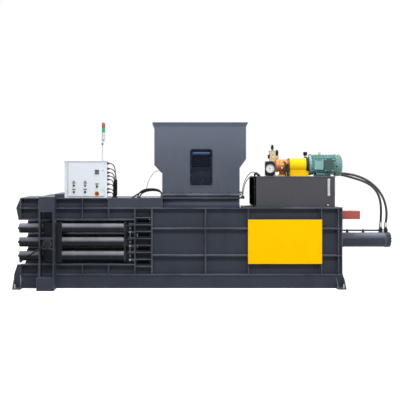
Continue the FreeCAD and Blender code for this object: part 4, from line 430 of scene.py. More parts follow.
def disc(radius, height, chamfer=0.0):
    """The profile of a plain plug or nut, its outer edge cut back by a chamfer."""
    return [(0, radius), (height - chamfer, radius)] + ([(height, radius - chamfer)] if chamfer else [])


def add_tube(shape, route, radius, bend, sides):
    """A round bar with closed ends along straight runs that meet in bends."""
    points = [Vector(spot) for spot in route]
    line = [points[0]]
    for before, corner, after in zip(points, points[1:], points[2:]):
        start, end = (corner + (other - corner).normalized() * min(bend, (other - corner).length * 0.45)
                      for other in (before, after))
        for step in range(BEND_STEPS + 1):
            t = step / BEND_STEPS
            line.append(start * (1 - t) ** 2 + corner * 2 * t * (1 - t) + end * t ** 2)
    line.append(points[-1])
    across = (line[1] - line[0]).orthogonal().normalized()
    rows = []
    for i, spot in enumerate(line):
        along = (line[min(i + 1, len(line) - 1)] - line[max(i - 1, 0)]).normalized()
        across = (across - along * across.dot(along)).normalized()
        other = along.cross(across)
        rows.append([shape.verts.new(spot + (across * a + other * b) * radius)
                     for a, b in round_points(1, sides)])
    for row, after in zip(rows, rows[1:]):
        add_rim(shape, row, after)
    shape.faces.new(rows[0][::-1])
    shape.faces.new(rows[-1])


def add_rim(shape, first, second):
    """Faces between two loops with as many points."""
    for i in range(len(first)):
        j = (i + 1) % len(first)
        shape.faces.new((first[i], first[j], second[j], second[i]))


def piece(name, draw, finish, *nodes, body="frame", smooth=35):
    """A piece drawn with bmesh: its doubles merged and its faces turned outwards."""
    shape = bmesh.new()
    draw(shape)
    bmesh.ops.remove_doubles(shape, verts=shape.verts, dist=1e-6)
    bmesh.ops.recalc_face_normals(shape, faces=shape.faces)
    mesh = bpy.data.meshes.new(name)
    shape.to_mesh(mesh)
    shape.free()
    return held(name, mesh, body, finish, nodes, smooth)


def tubes(name, routes, radius, finish, body="frame", bend=0.03, sides=16):
    """Round bars along their routes, as one piece."""
    def draw(shape):
        for route in routes:
            add_tube(shape, route, radius, bend, sides)
    piece(name, draw, finish, body=body, smooth=40)


def turning(name, place, axis, profile, finish, *nodes, body="frame", sides=48, smooth=35, hollow=False):
    """One turning as a piece; sides=6 makes a hexagon."""
    piece(name, lambda shape: add_turning(shape, place, axis, profile, sides, hollow), finish, *nodes,
          body=body, smooth=smooth)


def blocks(name, boxes, finish, body="frame", round_by=0.003):
    """Rounded blocks between pairs of corners, as one piece."""
    def draw(shape):
        for low, high in boxes:
            add_block(shape, low, high, round_by)
    piece(name, draw, finish, body=body)


def mirrored(low, high):
    """A box on the far side and its like on the near side."""
    return [((low[0], -high[1], low[2]), (high[0], -low[1], high[2])), (low, high)]


def tree(name, inputs):
    """A new geometry tree with named inputs; returns its hand, its input node and the inputs' identifiers."""
    group = bpy.data.node_groups.new(name, "GeometryNodeTree")
    group.interface.new_socket("Geometry", in_out="INPUT", socket_type="NodeSocketGeometry")
    keys = {}
    for label, (kind, default) in inputs.items():
        socket = group.interface.new_socket(label, in_out="INPUT", socket_type=kind)
        if default is not None:
            socket.default_value = default
        keys[label] = socket.identifier
    group.interface.new_socket("Geometry", in_out="OUTPUT", socket_type="NodeSocketGeometry")
    nodes = Nodes(group)
    return nodes, nodes.add("NodeGroupInput").outputs, keys


def baked(name, mesh, group, keys, values, body, finish):
    """Runs a geometry tree on a mesh and keeps the result as a plain mesh piece."""
    seed = stood(name + "_seed", mesh)
    modifier = seed.modifiers.new("build", "NODES")
    modifier.node_group = group
    for label, value in values.items():
        modifier[keys[label]] = value
    bpy.context.view_layer.update()
    made = bpy.data.meshes.new_from_object(seed.evaluated_get(bpy.context.evaluated_depsgraph_get()))
    bpy.data.objects.remove(seed)
    made.name = name
    held(name, made, body, finish, (), 30)


CORNER_SHARE = 0.577
WASHER_WIDTH = 0.78
WASHER_RISE = 0.22
HEAD_LIFT = 0.62
HEAD_RISE = 0.45
TREES = {}


def screw_tree():
    """A hexagon head on a washer at every point, turned to face the point's own 'facing' vector."""
    nodes, given, keys = tree("hex_heads", {
        "Across": ("NodeSocketFloat", 0.030), "Rise": ("NodeSocketFloat", 0.014),
        "Sides": ("NodeSocketInt", 6), "Finish": ("NodeSocketMaterial", None)})
    radius = nodes.maths("MULTIPLY", given["Across"], CORNER_SHARE)
    thin = nodes.maths("MULTIPLY", given["Rise"], WASHER_RISE)
    wide = nodes.maths("MULTIPLY", given["Across"], WASHER_WIDTH)
    head = nodes.add("GeometryNodeMeshCylinder", {"Vertices": given["Sides"], "Radius": radius,
                                                  "Depth": given["Rise"]})
    lift = nodes.maths("MULTIPLY", given["Rise"], HEAD_LIFT)
    raised = nodes.add("GeometryNodeTransform", {
        "Geometry": head.outputs["Mesh"],
        "Translation": nodes.add("ShaderNodeCombineXYZ", {"Z": lift}).outputs[0]})
    washer = nodes.add("GeometryNodeMeshCylinder", {"Vertices": 20, "Radius": wide, "Depth": thin})
    both = nodes.add("GeometryNodeJoinGeometry")
    for part in (raised, washer):
        nodes.tree.links.new(part.outputs[0], both.inputs[0])
    facing = nodes.add("GeometryNodeInputNamedAttribute", {"Name": "facing"}, data_type="FLOAT_VECTOR")
    turn = nodes.add("FunctionNodeAlignRotationToVector", {"Vector": facing.outputs["Attribute"]}, axis="Z")
    spread = nodes.add("GeometryNodeInstanceOnPoints", {
        "Points": given["Geometry"], "Instance": both.outputs[0], "Rotation": turn.outputs["Rotation"]})
    real = nodes.add("GeometryNodeRealizeInstances", {"Geometry": spread.outputs["Instances"]})
    done = nodes.add("GeometryNodeSetMaterial", {"Geometry": real.outputs[0], "Material": given["Finish"]})
    nodes.add("NodeGroupOutput", {"Geometry": done.outputs[0]})
    return nodes.tree, keys


def heads(name, places, finish, across, rise=None, body="frame", sides=6):
    """Screw heads at (place, facing) pairs."""
    mesh = bpy.data.meshes.new(name + "_points")
    mesh.from_pydata([place for place, _ in places], [], [])
    facing = mesh.attributes.new("facing", "FLOAT_VECTOR", "POINT")
    for item, (_, way) in zip(facing.data, places):
        item.vector = way
    if "hex_heads" not in TREES:
        TREES["hex_heads"] = screw_tree()
    values = {"Across": across, "Rise": rise or across * HEAD_RISE, "Sides": sides,
              "Finish": FINISHES[finish]}
    baked(name, mesh, *TREES["hex_heads"], values, body, finish)


def spaced(low, high, count):
    """Even stations from low to high, with both ends."""
    return [low + (high - low) * i / (count - 1) for i in range(count)]


def grid(way, xs, ys, zs):
    """Every place with these stations, in the order of x, facing along an axis."""
    return [((x, y, z), OUT[way]) for x in xs for y in ys for z in zs]


def ring(centre, radius, count, way, start=0.0):
    """Places on a circle round a centre, facing along an axis."""
    aim = Matrix.Translation(centre) @ AXES[way]
    return [(tuple(aim @ Vector((a, b, 0))), OUT[way]) for a, b in round_points(radius, count, start)]


def rim_row(low, high, count_a, count_b, level, inset):
    """Places round the edge of a rectangle in X and Z, facing the near side."""
    a, b = ((low[i] + inset, high[i] - inset) for i in (0, 1))
    spots = [(x, z) for x in spaced(*a, count_a) for z in b]
    spots += [(x, z) for z in spaced(*b, count_b)[1:-1] for x in a]
    return [((x, level, z), OUT["-Y"]) for x, z in spots]


def rounded_loop(low, high, radii, steps=6):
    """A rounded rectangle as (a, b) pairs; radii go round from the high-a, high-b corner."""
    corners = [(high[0], high[1], 0), (low[0], high[1], 1), (low[0], low[1], 2), (high[0], low[1], 3)]
    spots = []
    for (a, b, turn), radius in zip(corners, radii):
        centre = (a - radius * (1 if turn in (0, 3) else -1), b - radius * (1 if turn in (0, 1) else -1))
        for step in range(steps + 1):
            angle = math.pi / 2 * (turn + step / steps)
            spots.append((centre[0] + radius * math.cos(angle), centre[1] + radius * math.sin(angle)))
    return spots


def shrunk(low, high, by):
    """The corners of a rectangle drawn in on every side."""
    return tuple(value + by for value in low), tuple(value - by for value in high)


def add_band(shape, loops, closed=True):
    """Skins a row of (pairs, depth) loops in planes across Y; a closed row joins last to first."""
    rows = [[shape.verts.new((a, depth, b)) for a, b in pairs] for pairs, depth in loops]
    for first, second in list(zip(rows, rows[1:])) + ([(rows[-1], rows[0])] if closed else []):
        add_rim(shape, first, second)
    if not closed:
        shape.faces.new(rows[0])
        shape.faces.new(rows[-1])


def slabs(name, places, radius, front, back, finish, *nodes, body="frame", lip=0.003):
    """Rounded plates across Y at (low, high) corners in X and Z, each with a softened front edge."""
    def draw(shape):
        for low, high in places:
            whole = rounded_loop(low, high, (radius,) * 4)
            inset = rounded_loop(*shrunk(low, high, lip), (max(radius - lip, 0.0005),) * 4)
            add_band(shape, [(inset, front), (whole, front + lip), (whole, back)], closed=False)
    piece(name, draw, finish, *nodes, body=body)


def stood(name, data):
    """A new object in the scene."""
    made = bpy.data.objects.new(name, data)
    bpy.context.scene.collection.objects.link(made)
    return made


def held(name, mesh, body, finish, nodes, smooth):
    """Puts a mesh in the scene as a piece that rides on a body and may stand for CAD nodes."""
    made = stood(name, mesh)
    mesh.materials.clear()
    mesh.materials.append(FINISHES[finish])
    if smooth is not None:
        mesh.shade_smooth()
        mesh.set_sharp_from_angle(angle=math.radians(smooth))
    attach(made, body)
    if nodes:
        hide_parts(*nodes)


CORD_ORDER = 3
CORD_STEPS = 14
CORD_ROUND_STEPS = 5


def cord(name, route, diameter, finish, node):
    """A held cord on a smooth curve whose control points are the solids' own route, in metres."""
    curve = bpy.data.curves.new(name, "CURVE")
    curve.dimensions = "3D"
    curve.bevel_depth = diameter / 2
    curve.bevel_resolution = CORD_ROUND_STEPS
    curve.resolution_u = CORD_STEPS
    curve.use_fill_caps = True
    line = curve.splines.new("NURBS")
    line.points.add(len(route) - 1)
    for point, spot in zip(line.points, route):
        point.co = (*spot, 1)
    line.order_u = CORD_ORDER
    line.use_endpoint_u = True
    curve.materials.append(FINISHES[finish])
    made = stood(name, curve)
    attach(made, "frame")
    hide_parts(node)


# ------------------------------------------------------------------ hopper window
WINDOW = ((0.193, 1.761), (0.570, 2.374))
WINDOW_SPLIT = 2.038
WINDOW_RIM = 0.034
WINDOW_LIP = 0.004
WINDOW_WALL, WINDOW_STEP, WINDOW_FACE = -0.500, -0.518, -0.522
PANE_INSET = 0.0335
PANE_GAP = 0.0165
BACK_INSET = 0.022


class BALER_OT_window(Operator):
    """The hopper's window: rounded frame, two panes with painted shade behind them, a painted glare band and
    screws
    """
    bl_idname = "baler.window"
    bl_label = "Hopper window"

    def execute(self, context):
        low, high = WINDOW

        def surround(shape):
            bar = WINDOW_RIM - WINDOW_LIP
            outer, outer_in, inner_out, inner = (
                rounded_loop(*shrunk(low, high, inset), (top, top, foot, foot)) for inset, top, foot in (
                    (0, 0.040, 0.018), (WINDOW_LIP, 0.036, 0.014), (bar, 0.024, 0.014),
                    (WINDOW_RIM, 0.020, 0.010)))
            add_band(shape, [(outer, WINDOW_WALL), (outer, WINDOW_STEP), (outer_in, WINDOW_FACE),
                             (inner_out, WINDOW_FACE), (inner, WINDOW_STEP), (inner, WINDOW_WALL)])
            add_block(shape, (low[0] + bar, WINDOW_STEP, WINDOW_SPLIT - WINDOW_RIM / 2),
                      (high[0] - bar, WINDOW_WALL, WINDOW_SPLIT + WINDOW_RIM / 2), WINDOW_LIP)
        piece("window_surround", surround, "window_navy", "window_frame")
        (left, foot), (right, top) = shrunk(low, high, PANE_INSET)
        panes = [((left, foot), (right, WINDOW_SPLIT - PANE_GAP)),
                 ((left, WINDOW_SPLIT + PANE_GAP), (right, top))]
        slabs("window_sheets", panes, 0.012, -0.512, -0.504, "window_glass", "window_panes", lip=0.001)
        # Dark plates behind the panes: painted shade of the hopper's inside, darker in the upper pane.
        (left, foot), (right, top) = shrunk(low, high, BACK_INSET)
        for name, bottom, upper, finish in (("window_back_low", foot, WINDOW_SPLIT, "window_dusk"),
                                            ("window_back_high", WINDOW_SPLIT, top, "window_shadow")):
            blocks(name, [((left, -0.5035, bottom), (right, -0.5005, upper))], finish, round_by=0.001)

        # A blue half-round bar along the top of the upper pane: a painted reflection of light on the glass.
        def glare_band(shape):
            arc = [(math.cos(math.radians(a)), math.sin(math.radians(a))) for a in range(0, 181, 15)]
            rows = [[shape.verts.new((x, -0.512 - 0.011 * s, 2.300 + 0.024 * c)) for c, s in arc]
                    for x in (0.236, 0.527)]
            for i in range(len(arc) - 1):
                shape.faces.new((rows[0][i], rows[0][i + 1], rows[1][i + 1], rows[1][i]))
            for row in rows:
                shape.faces.new(row)
            shape.faces.new((rows[0][0], rows[1][0], rows[1][-1], rows[0][-1]))
        piece("window_glare_band", glare_band, "glare_blue", smooth=40)
        heads("window_screws", rim_row(low, high, 3, 5, WINDOW_FACE, 0.015), "bolt_black", 0.013, sides=24)
        return {"FINISHED"}


# ------------------------------------------------------------------ fasteners of the frame
RAM_LINE = (0, 0, 0.788)
SHAFT = (0, -0.120, 2.097)
ANCHORS = ((-2.775, 2.775), (-0.745, 0.745))
SIDE_COVER = ((1.180, 0.426), (2.422, 1.163))


def on_shaft(x):
    """A place on the common line of the motor, the coupling and the pump."""
    return (x, *SHAFT[1:])


class BALER_OT_fasteners(Operator):
    """Anchor nuts and studs, and the bolts of hopper, cover, cylinder, tank lid, motor and bell housing"""
    bl_idname = "baler.fasteners"
    bl_label = "Fasteners"

    def execute(self, context):
        sizes = context.scene.baler_sizes
        heads("anchor_nuts", grid("Z", *ANCHORS, (0.0230,)), "bolt_zinc", 0.036, 0.019)
        heads("anchor_studs", grid("Z", *ANCHORS, (0.020,)), "bolt_zinc", 0.021, 0.060, sides=20)
        heads("hopper_bolts", grid("Z", spaced(-0.262, 1.020, 9), (-0.517, 0.517), (1.626,)), "bolt_black",
              0.016)
        heads("cover_screws", rim_row(*SIDE_COVER, 7, 5, -0.6265, 0.024), "cover_yellow", sizes.small_head,
              sides=24)
        heads("cylinder_flange_bolts", ring((2.8165, *RAM_LINE[1:]), 0.160, 12, "X", math.pi / 12),
              "bolt_black", sizes.hex_head)
        heads("barrel_cap_bolts", ring((3.7315, *RAM_LINE[1:]), 0.088, 10, "X"), "bolt_black", 0.024)
        heads("tank_lid_bolts", grid("Z", spaced(1.340, 2.650, 9), (-0.518, 0.518), (1.909,)), "bolt_zinc",
              0.013)
        heads("motor_foot_bolts", grid("Z", (2.345, 2.640), (-0.245, 0.005), (1.9390,)), "bolt_zinc", 0.019)
        heads("bell_bolts", ring(on_shaft(1.9345), 0.121, 8, "-X", 0.2), "bolt_black", 0.017)
        return {"FINISHED"}


# ------------------------------------------------------------------ main cylinder
BARREL_TURNINGS = {
    "barrel_cap": ("anthracite", [(3.640, 0.1325), (3.650, 0.1345), (3.700, 0.1345), (3.708, 0.1325),
                                  (3.7200, 0.1325), (3.7290, 0.1270), (3.7300, 0.110)]),
    "barrel_weld": ("weld_bead", [(3.628, 0.1305), (3.634, 0.1345), (3.641, 0.1335)]),
    "flange_weld": ("weld_bead", [(2.815, 0.143), (2.822, 0.140), (2.829, 0.1305)]),
}


class BALER_OT_cylinder(Operator):
    """The barrel's rear cap, its weld beads and the clamps of the rigid pipe"""
    bl_idname = "baler.cylinder"
    bl_label = "Main cylinder"

    def execute(self, context):
        for name, (finish, profile) in BARREL_TURNINGS.items():
            turning(name, RAM_LINE, "X", profile, finish, sides=FINE_SIDES)
        for number, x in enumerate((2.980, 3.260), 1):
            blocks(f"pipe_clamp_{number}", [((x - 0.020, -0.022, 0.914), (x + 0.020, 0.022, 0.970))],
                   "nylon_black", round_by=0.005)
            heads(f"pipe_clamp_bolt_{number}", grid("Z", (x,), (0,), (0.970,)), "bolt_zinc", 0.013)
        return {"FINISHED"}


# ------------------------------------------------------------------ hose ends
HOSE_ENDS = {
    "pressure_hose_tank_end": ((2.640, 0.170, 1.953), "X"),
    "return_hose_tank_end": ((2.640, 0.250, 1.953), "X"),
    "pressure_hose_port_end": ((3.568, 0, 1.008), "Z"),
    "return_hose_port_end": ((3.656, 0, 1.008), "Z"),
}
SWIVEL_NUT = [(0, 0.029), (0.003, 0.0315), (0.026, 0.0315), (0.029, 0.029)]
CRIMPS = [(0.034 + 0.006 * i, 0.0262 if i % 2 else 0.0275) for i in range(7)]
FERRULE = [(0.028, 0.0265), *CRIMPS, (0.078, 0.0265), (0.082, 0.0225)]


class BALER_OT_hose_ends(Operator):
    """Crimped ferrules and swivel nuts where the main hoses meet their ports"""
    bl_idname = "baler.hose_ends"
    bl_label = "Hose ends"

    def execute(self, context):
        for name, (place, axis) in HOSE_ENDS.items():
            def draw(shape):
                add_turning(shape, place, axis, SWIVEL_NUT, sides=6)
                add_turning(shape, place, axis, FERRULE, sides=40)
            piece(name, draw, "bolt_zinc", smooth=30)
        return {"FINISHED"}


# ------------------------------------------------------------------ power unit
COUPLING_RING = [(2.222, 0.132), (2.226, 0.1425), (2.273, 0.1425), (2.2765, 0.1385)]
GRILLE_REACH = 0.064
GRILLE_SPAN = 0.124
BAR_HALF = 0.0025


class BALER_OT_motor(Operator):
    """The motor's blank plate, terminal lid, coupling ring, fan grille, foot pads and fan-cover screws"""
    bl_idname = "baler.motor"
    bl_label = "Motor trim"

    def execute(self, context):
        bars = context.scene.baler_sizes.fin_count
        y, z = SHAFT[1:]
        slabs("motor_plate", [((2.352, 2.022), (2.508, 2.176))], 0.008, -0.3160, -0.3100, "plate_teal",
              lip=0.001)
        heads("motor_plate_rivets", grid("-Y", (2.362, 2.498), (-0.3165,), (2.032, 2.166)), "bolt_zinc",
              0.008, sides=20)
        slabs("terminal_lid", [((2.528, 1.990), (2.678, 2.212))], 0.010, -0.3460, -0.3325, "teal_deep")
        heads("terminal_screws", grid("-Y", (2.541, 2.665), (-0.3465,), (2.004, 2.198)), "bolt_zinc", 0.011,
              sides=20)
        # The ring stands for the bell's and motor's flanges; its near-black colour is also painted shade in
        # the gap between them.
        turning("coupling_ring", SHAFT, "X", COUPLING_RING, "coupling_black", sides=FINE_SIDES)

        def grille(shape):
            for row in range(bars):
                rise = (row - (bars - 1) / 2) * GRILLE_SPAN / (bars - 1)
                half = math.sqrt(max(0.0, GRILLE_REACH ** 2 - rise ** 2))
                if half > 0.008:
                    add_block(shape, (2.8385, y - half, z + rise - BAR_HALF),
                              (2.8435, y + half, z + rise + BAR_HALF))
            add_turning(shape, on_shaft(2.836), "X", [(0, 0.058), (0.009, 0.058), (0.009, 0.065), (0, 0.065)],
                        hollow=True)
        piece("fan_grille", grille, "teal_deep", smooth=30)
        blocks("motor_pads", [((2.390, across - 0.034, 1.908), (2.640, across + 0.034, 1.934))
                              for across in (-0.238, -0.002)], "teal_deep", round_by=0.004)
        screws = [((2.7390, -0.3072, 2.0780), OUT["-Y"]), ((2.7390, 0.0672, 2.0780), OUT["Y"]),
                  ((2.7390, y, 2.2850), OUT["Z"])]
        heads("fan_cover_screws", screws, "side_black", 0.018, 0.006)
        return {"FINISHED"}


PUMP_COVER = [(1.6860, 0.080), (1.6900, 0.098), (1.7060, 0.1190), (1.7320, 0.1205), (1.7420, 0.1120)]
PUMP_BAND = [(1.8960, 0.1120), (1.9000, 0.1200), (1.9340, 0.1200), (1.9365, 0.117)]
PUMP_PEDESTAL = [(1.926, 0.070), (1.938, 0.070), (1.944, 0.052), (1.999, 0.052)]
DRAIN_ROUTE = [(1.852, -0.306, 1.9075), (1.852, -0.306, 2.150), (1.838, -0.205, 2.168)]
KNOB_GRIP = [(0.0205, 0.94), (0.025, 1.03), (0.084, 0.88), (0.088, 0.72), (0.100, 0.64)]
KNOB_RADIUS = 0.024
KNURLS = 18
KNURL_HALF = 0.0016


class BALER_OT_pump(Operator):
    """Pump cover, foot and plug, suction and drain pipes, valve plugs, solenoid and knurled relief knobs"""
    bl_idname = "baler.pump"
    bl_label = "Pump and valves"

    def execute(self, context):
        y = SHAFT[1]
        turning("pump_cover", SHAFT, "X", PUMP_COVER, "pump_copper", sides=FINE_SIDES)
        turning("pump_rear_band", SHAFT, "X", PUMP_BAND, "pump_dark", sides=FINE_SIDES)
        heads("pump_cover_bolts", ring(on_shaft(1.6845), 0.084, 6, "-X", 0.5), "bolt_black", 0.017)
        turning("pump_plug", (1.800, -0.2245, 2.050), "-Y", disc(0.017, 0.014, 0.002), "bolt_zinc", sides=6)
        blocks("pump_foot", [((1.700, -0.195, 1.9072), (1.926, -0.045, 1.926))], "bell_yellow",
               round_by=0.004)
        turning("pump_pedestal", (1.815, y, 0), "Z", PUMP_PEDESTAL, "pump_dark")
        tubes("suction_sleeve", [[(1.895, -0.278, 1.925), (1.895, -0.278, 2.092)]], 0.0235, "hose_cover")
        tubes("drain_pipe", [DRAIN_ROUTE], 0.0125, "hose_cover", bend=0.045)
        heads("valve_plugs", grid("-Y", (1.646,), (-0.1765,), (2.235, 2.300)), "bolt_zinc", 0.022, 0.010)
        blocks("valve_solenoid", [((1.566, -0.146, 2.215), (1.596, -0.094, 2.285))], "satin_black",
               round_by=0.005)
        for name, x, low in (("relief", 1.644, 2.355), ("unloading", 1.726, 2.262)):
            def draw(shape):
                grip = [(station, KNOB_RADIUS * share) for station, share in KNOB_GRIP]
                add_turning(shape, (x, y, low), "Z", grip + [(0.1006, 0)], sides=40)
                for a, b in round_points(KNOB_RADIUS * 0.99, KNURLS):
                    add_block(shape, (x + a - KNURL_HALF, y + b - KNURL_HALF, low + 0.028),
                              (x + a + KNURL_HALF, y + b + KNURL_HALF, low + 0.070))
            piece(name + "_grip", draw, "satin_black", body=name, smooth=30)
            turning(name + "_lock_nut", (x, y, low), "Z", [(0.001, 0.019), (0.013, 0.019), (0.014, 0.017)],
                    "bolt_black", body=name, sides=6)
        return {"FINISHED"}


DIAL = (1.5585, 2.040)
DIAL_START = 225
DIAL_SWEEP = 270
DIAL_MARKS = 40
MARK_REACH = 0.063
BEZEL = [(0, 0.0735), (0.024, 0.0735), (0.0305, 0.0790), (0.0325, 0.0830), (0.0305, 0.0865),
         (0.024, 0.0875), (0, 0.0875)]


class BALER_OT_gauge(Operator):
    """The pressure gauge's white face, its scale, bezel and glass, and the screws of its panel"""
    bl_idname = "baler.gauge"
    bl_label = "Pressure gauge"

    def execute(self, context):
        x, z = DIAL
        turning("dial_face", (x, -0.5064, z), "-Y", disc(0.0735, 0.0012), "dial_white", sides=FINE_SIDES)

        def scale(shape):
            for step in range(DIAL_MARKS + 1):
                angle = math.radians(DIAL_START - DIAL_SWEEP * step / DIAL_MARKS)
                length, width = (0.013, 0.0022) if step % 4 == 0 else (0.007, 0.0011)
                made = bmesh.ops.create_cube(shape, size=1.0)["verts"]
                place = (Matrix.Translation((x, -0.5078, z)) @ Matrix.Rotation(-angle, 4, "Y")
                         @ Matrix.Translation((MARK_REACH - length / 2, 0, 0))
                         @ Matrix.Diagonal((length, 0.0006, width, 1)))
                bmesh.ops.transform(shape, matrix=place, verts=made)
        piece("dial_scale", scale, "button_black", smooth=None)
        turning("dial_bezel", (x, -0.505, z), "-Y", BEZEL, "satin_black", sides=FINE_SIDES, hollow=True)
        turning("dial_glass", (x, -0.5215, z), "-Y", disc(0.0745, 0.0025), "dial_glass", sides=FINE_SIDES)
        heads("gauge_panel_screws", grid("-Y", (1.484, 1.633), (-0.4905,), (1.921, 2.150)), "bolt_zinc",
              0.010, sides=20)
        return {"FINISHED"}


LEVEL_LINE = (2.562, -0.5430)


class BALER_OT_level(Operator):
    """The oil level gauge: pale housing, sight tube with oil, its two bolts and its marks"""
    bl_idname = "baler.level"
    bl_label = "Level gauge"

    def execute(self, context):
        slabs("level_housing", [((2.541, 1.570), (2.583, 1.865))], 0.012, -0.5420, -0.5262, "level_white",
              "level_gauge", lip=0.004)
        turning("level_tube", (*LEVEL_LINE, 1.612), "Z", disc(0.0095, 0.2100), "gauge_glass", sides=24)
        turning("level_oil", (*LEVEL_LINE, 1.614), "Z", disc(0.0070, 0.1420), "oil_amber", sides=24)
        heads("level_bolts", grid("-Y", LEVEL_LINE[:1], (-0.5425,), (1.590, 1.845)), "bolt_zinc", 0.020,
              0.009)
        marks = [((x, -0.5432, z), (x + 0.0075, -0.5418, z + 0.009))
                 for z in spaced(1.624, 1.813, 7) for x in (2.5430, 2.5735)]
        blocks("level_marks", marks, "side_black", round_by=0.0002)
        return {"FINISHED"}


# ------------------------------------------------------------------ control cabinet
CABINET_CONTROLS = {"start": (-1.789, 1.752), "stop": (-1.789, 1.640), "advance": (-1.597, 1.752),
                    "retract": (-1.597, 1.640), "selector": (-1.396, 1.734)}
DOOR_FACE = -0.6243
DOOR = ((-1.9005, 1.5715), (-1.2715, 2.1275))
DOOR_SEAM = 0.002
STOP_HALO = [(0, 0.0335), (0.0016, 0.0335), (0.0022, 0.038), (0.0022, 0.043), (0, 0.043)]
PILOT_LAMP = [(0, 0.012), (0.005, 0.012), (0.006, 0.009), (0.011, 0.008), (0.014, 0.004), (0.0145, 0)]
DOOR_LOCK = [(0, 0.0165), (0.004, 0.0165), (0.006, 0.0150), (0.006, 0.0090), (0.0025, 0.0085)]
GLAND_HEX = [(0, 0.0215), (0.009, 0.0215), (0.0095, 0.020)]
GLAND_DOME = [(0, 0.0178), (0.013, 0.0190), (0.020, 0.0165), (0.027, 0.0105), (0.0335, 0.0090)]
SLEEVE_RIBS = 33
SLEEVE = (1.585, 1.848)
STRAP = ((-1.1385, -0.5425), (-1.0565, -0.4775))
STRAP_THICK = 0.0022


def on_door(low, high):
    """Rectangles on the door at every marked control, from their offsets to its centre."""
    return [((x + low[0], z + low[1]), (x + high[0], z + high[1])) for x, z in CABINET_CONTROLS.values()]


def cabinet_straps(shape):
    """Two bands round the bundle of cabinet cables."""
    outer = rounded_loop(*STRAP, (0.016,) * 4)
    inner = rounded_loop(*shrunk(*STRAP, STRAP_THICK), (0.014,) * 4)
    for bottom, top in ((1.652, 1.672), (1.742, 1.758)):
        rows = [[shape.verts.new((x, y, z)) for x, y in loop]
                for loop, z in ((inner, bottom), (outer, bottom), (outer, top), (inner, top))]
        for row, after in zip(rows, rows[1:] + rows[:1]):
            add_rim(shape, row, after)


class BALER_OT_cabinet(Operator):
    """Plates, lamps, ring, counter, locks, seam, rain lip, gland nuts, cable straps and sleeve"""
    bl_idname = "baler.cabinet"
    bl_label = "Control cabinet"

    def execute(self, context):
        face = DOOR_FACE
        slabs("legend_plates", on_door((-0.030, 0.031), (0.030, 0.055)), 0.003, face - 0.0016, face,
              "legend_grey", body="door", lip=0.0006)
        slabs("legend_lines", on_door((-0.024, 0.038), (0.024, 0.043)), 0.001, face - 0.0021, face - 0.0014,
              "button_black", body="door", lip=0.0002)
        turning("stop_halo", (-1.396, face, 1.615), "-Y", STOP_HALO, "ring_yellow", body="door", hollow=True)
        for number, (x, finish) in enumerate(((-1.789, "lamp_red"), (-1.597, "lamp_green")), 1):
            turning(f"pilot_lamp_{number}", (x, face, 1.825), "-Y", PILOT_LAMP, finish, body="door", sides=32)
        slabs("counter_rim", [((-1.433, 1.941), (-1.359, 2.019))], 0.006, -0.6360, -0.6305, "legend_grey",
              body="door", lip=0.002)
        slabs("counter_window", [((-1.424, 1.986), (-1.368, 2.010))], 0.002, -0.6372, -0.6355, "screen_dark",
              body="door", lip=0.0005)
        keys = [((x, 1.951), (x + 0.013, 1.966)) for x in spaced(-1.422, -1.384, 3)]
        slabs("counter_keys", keys, 0.003, -0.6385, -0.6355, "button_black", body="door", lip=0.001)
        for number, z in enumerate((1.680, 2.020), 1):
            turning(f"door_lock_{number}", (-1.293, face, z), "-Y", DOOR_LOCK, "stack_grey", body="door",
                    sides=36)
        (left, foot), (right, top) = DOOR
        (left_in, foot_in), (right_in, top_in) = shrunk(*DOOR, DOOR_SEAM)
        seams = (((left, foot_in), (left_in, top_in)), ((right_in, foot_in), (right, top_in)),
                 ((left, top_in), (right, top)), ((left, foot), (right, foot_in)))
        strips = [((low[0], -0.6015, low[1]), (high[0], -0.6000, high[1])) for low, high in seams]
        blocks("door_gasket", strips, "seam_grey", body="door", round_by=0)
        blocks("cabinet_rain_lip", [((-1.9530, -0.6230, 2.1590), (-1.2210, -0.3480, 2.1650))], "cabinet_coat",
               round_by=0.002)
        for number, route in enumerate(CABINET_ROUTES, 1):
            y, z = route[0][1:]

            def draw(shape):
                add_turning(shape, (-1.2262, y, z), "X", GLAND_HEX, sides=6)
                add_turning(shape, (-1.2162, y, z), "X", GLAND_DOME, sides=28)
            piece(f"gland_nut_{number}", draw, "nylon_black", smooth=30)
        piece("cabinet_cable_straps", cabinet_straps, "cable_jacket", smooth=30)
        height = SLEEVE[1] - SLEEVE[0]
        ridges = [((k + at) * height / SLEEVE_RIBS, reach) for k in range(SLEEVE_RIBS)
                  for at, reach in ((0.0, 0.0290), (0.25, 0.0318), (0.65, 0.0318), (0.9, 0.0290))]
        turning("cabinet_cable_sleeve", (-1.0850, -0.5220, SLEEVE[0]), "Z", [
            (0, 0.0275), *ridges, (height, 0.0290), (height, 0.0275)], "cable_jacket", sides=32, hollow=True)
        return {"FINISHED"}


STACK_Y = -0.475
POLE_X = -1.310
LENS_X = -1.293
LENS_RIBS = 13
DOME_TOP = [(2.8150, 0.0265), (2.8240, 0.0200), (2.8300, 0.0100), (2.8310, 0)]
LENSES = {"green": (2.6615, 2.7365, []), "red": (2.7375, 2.8060, DOME_TOP)}
SOCKET = [(0, 0.0125), (0.010, 0.0150), (0.040, 0.0150), (0.050, 0.0135)]


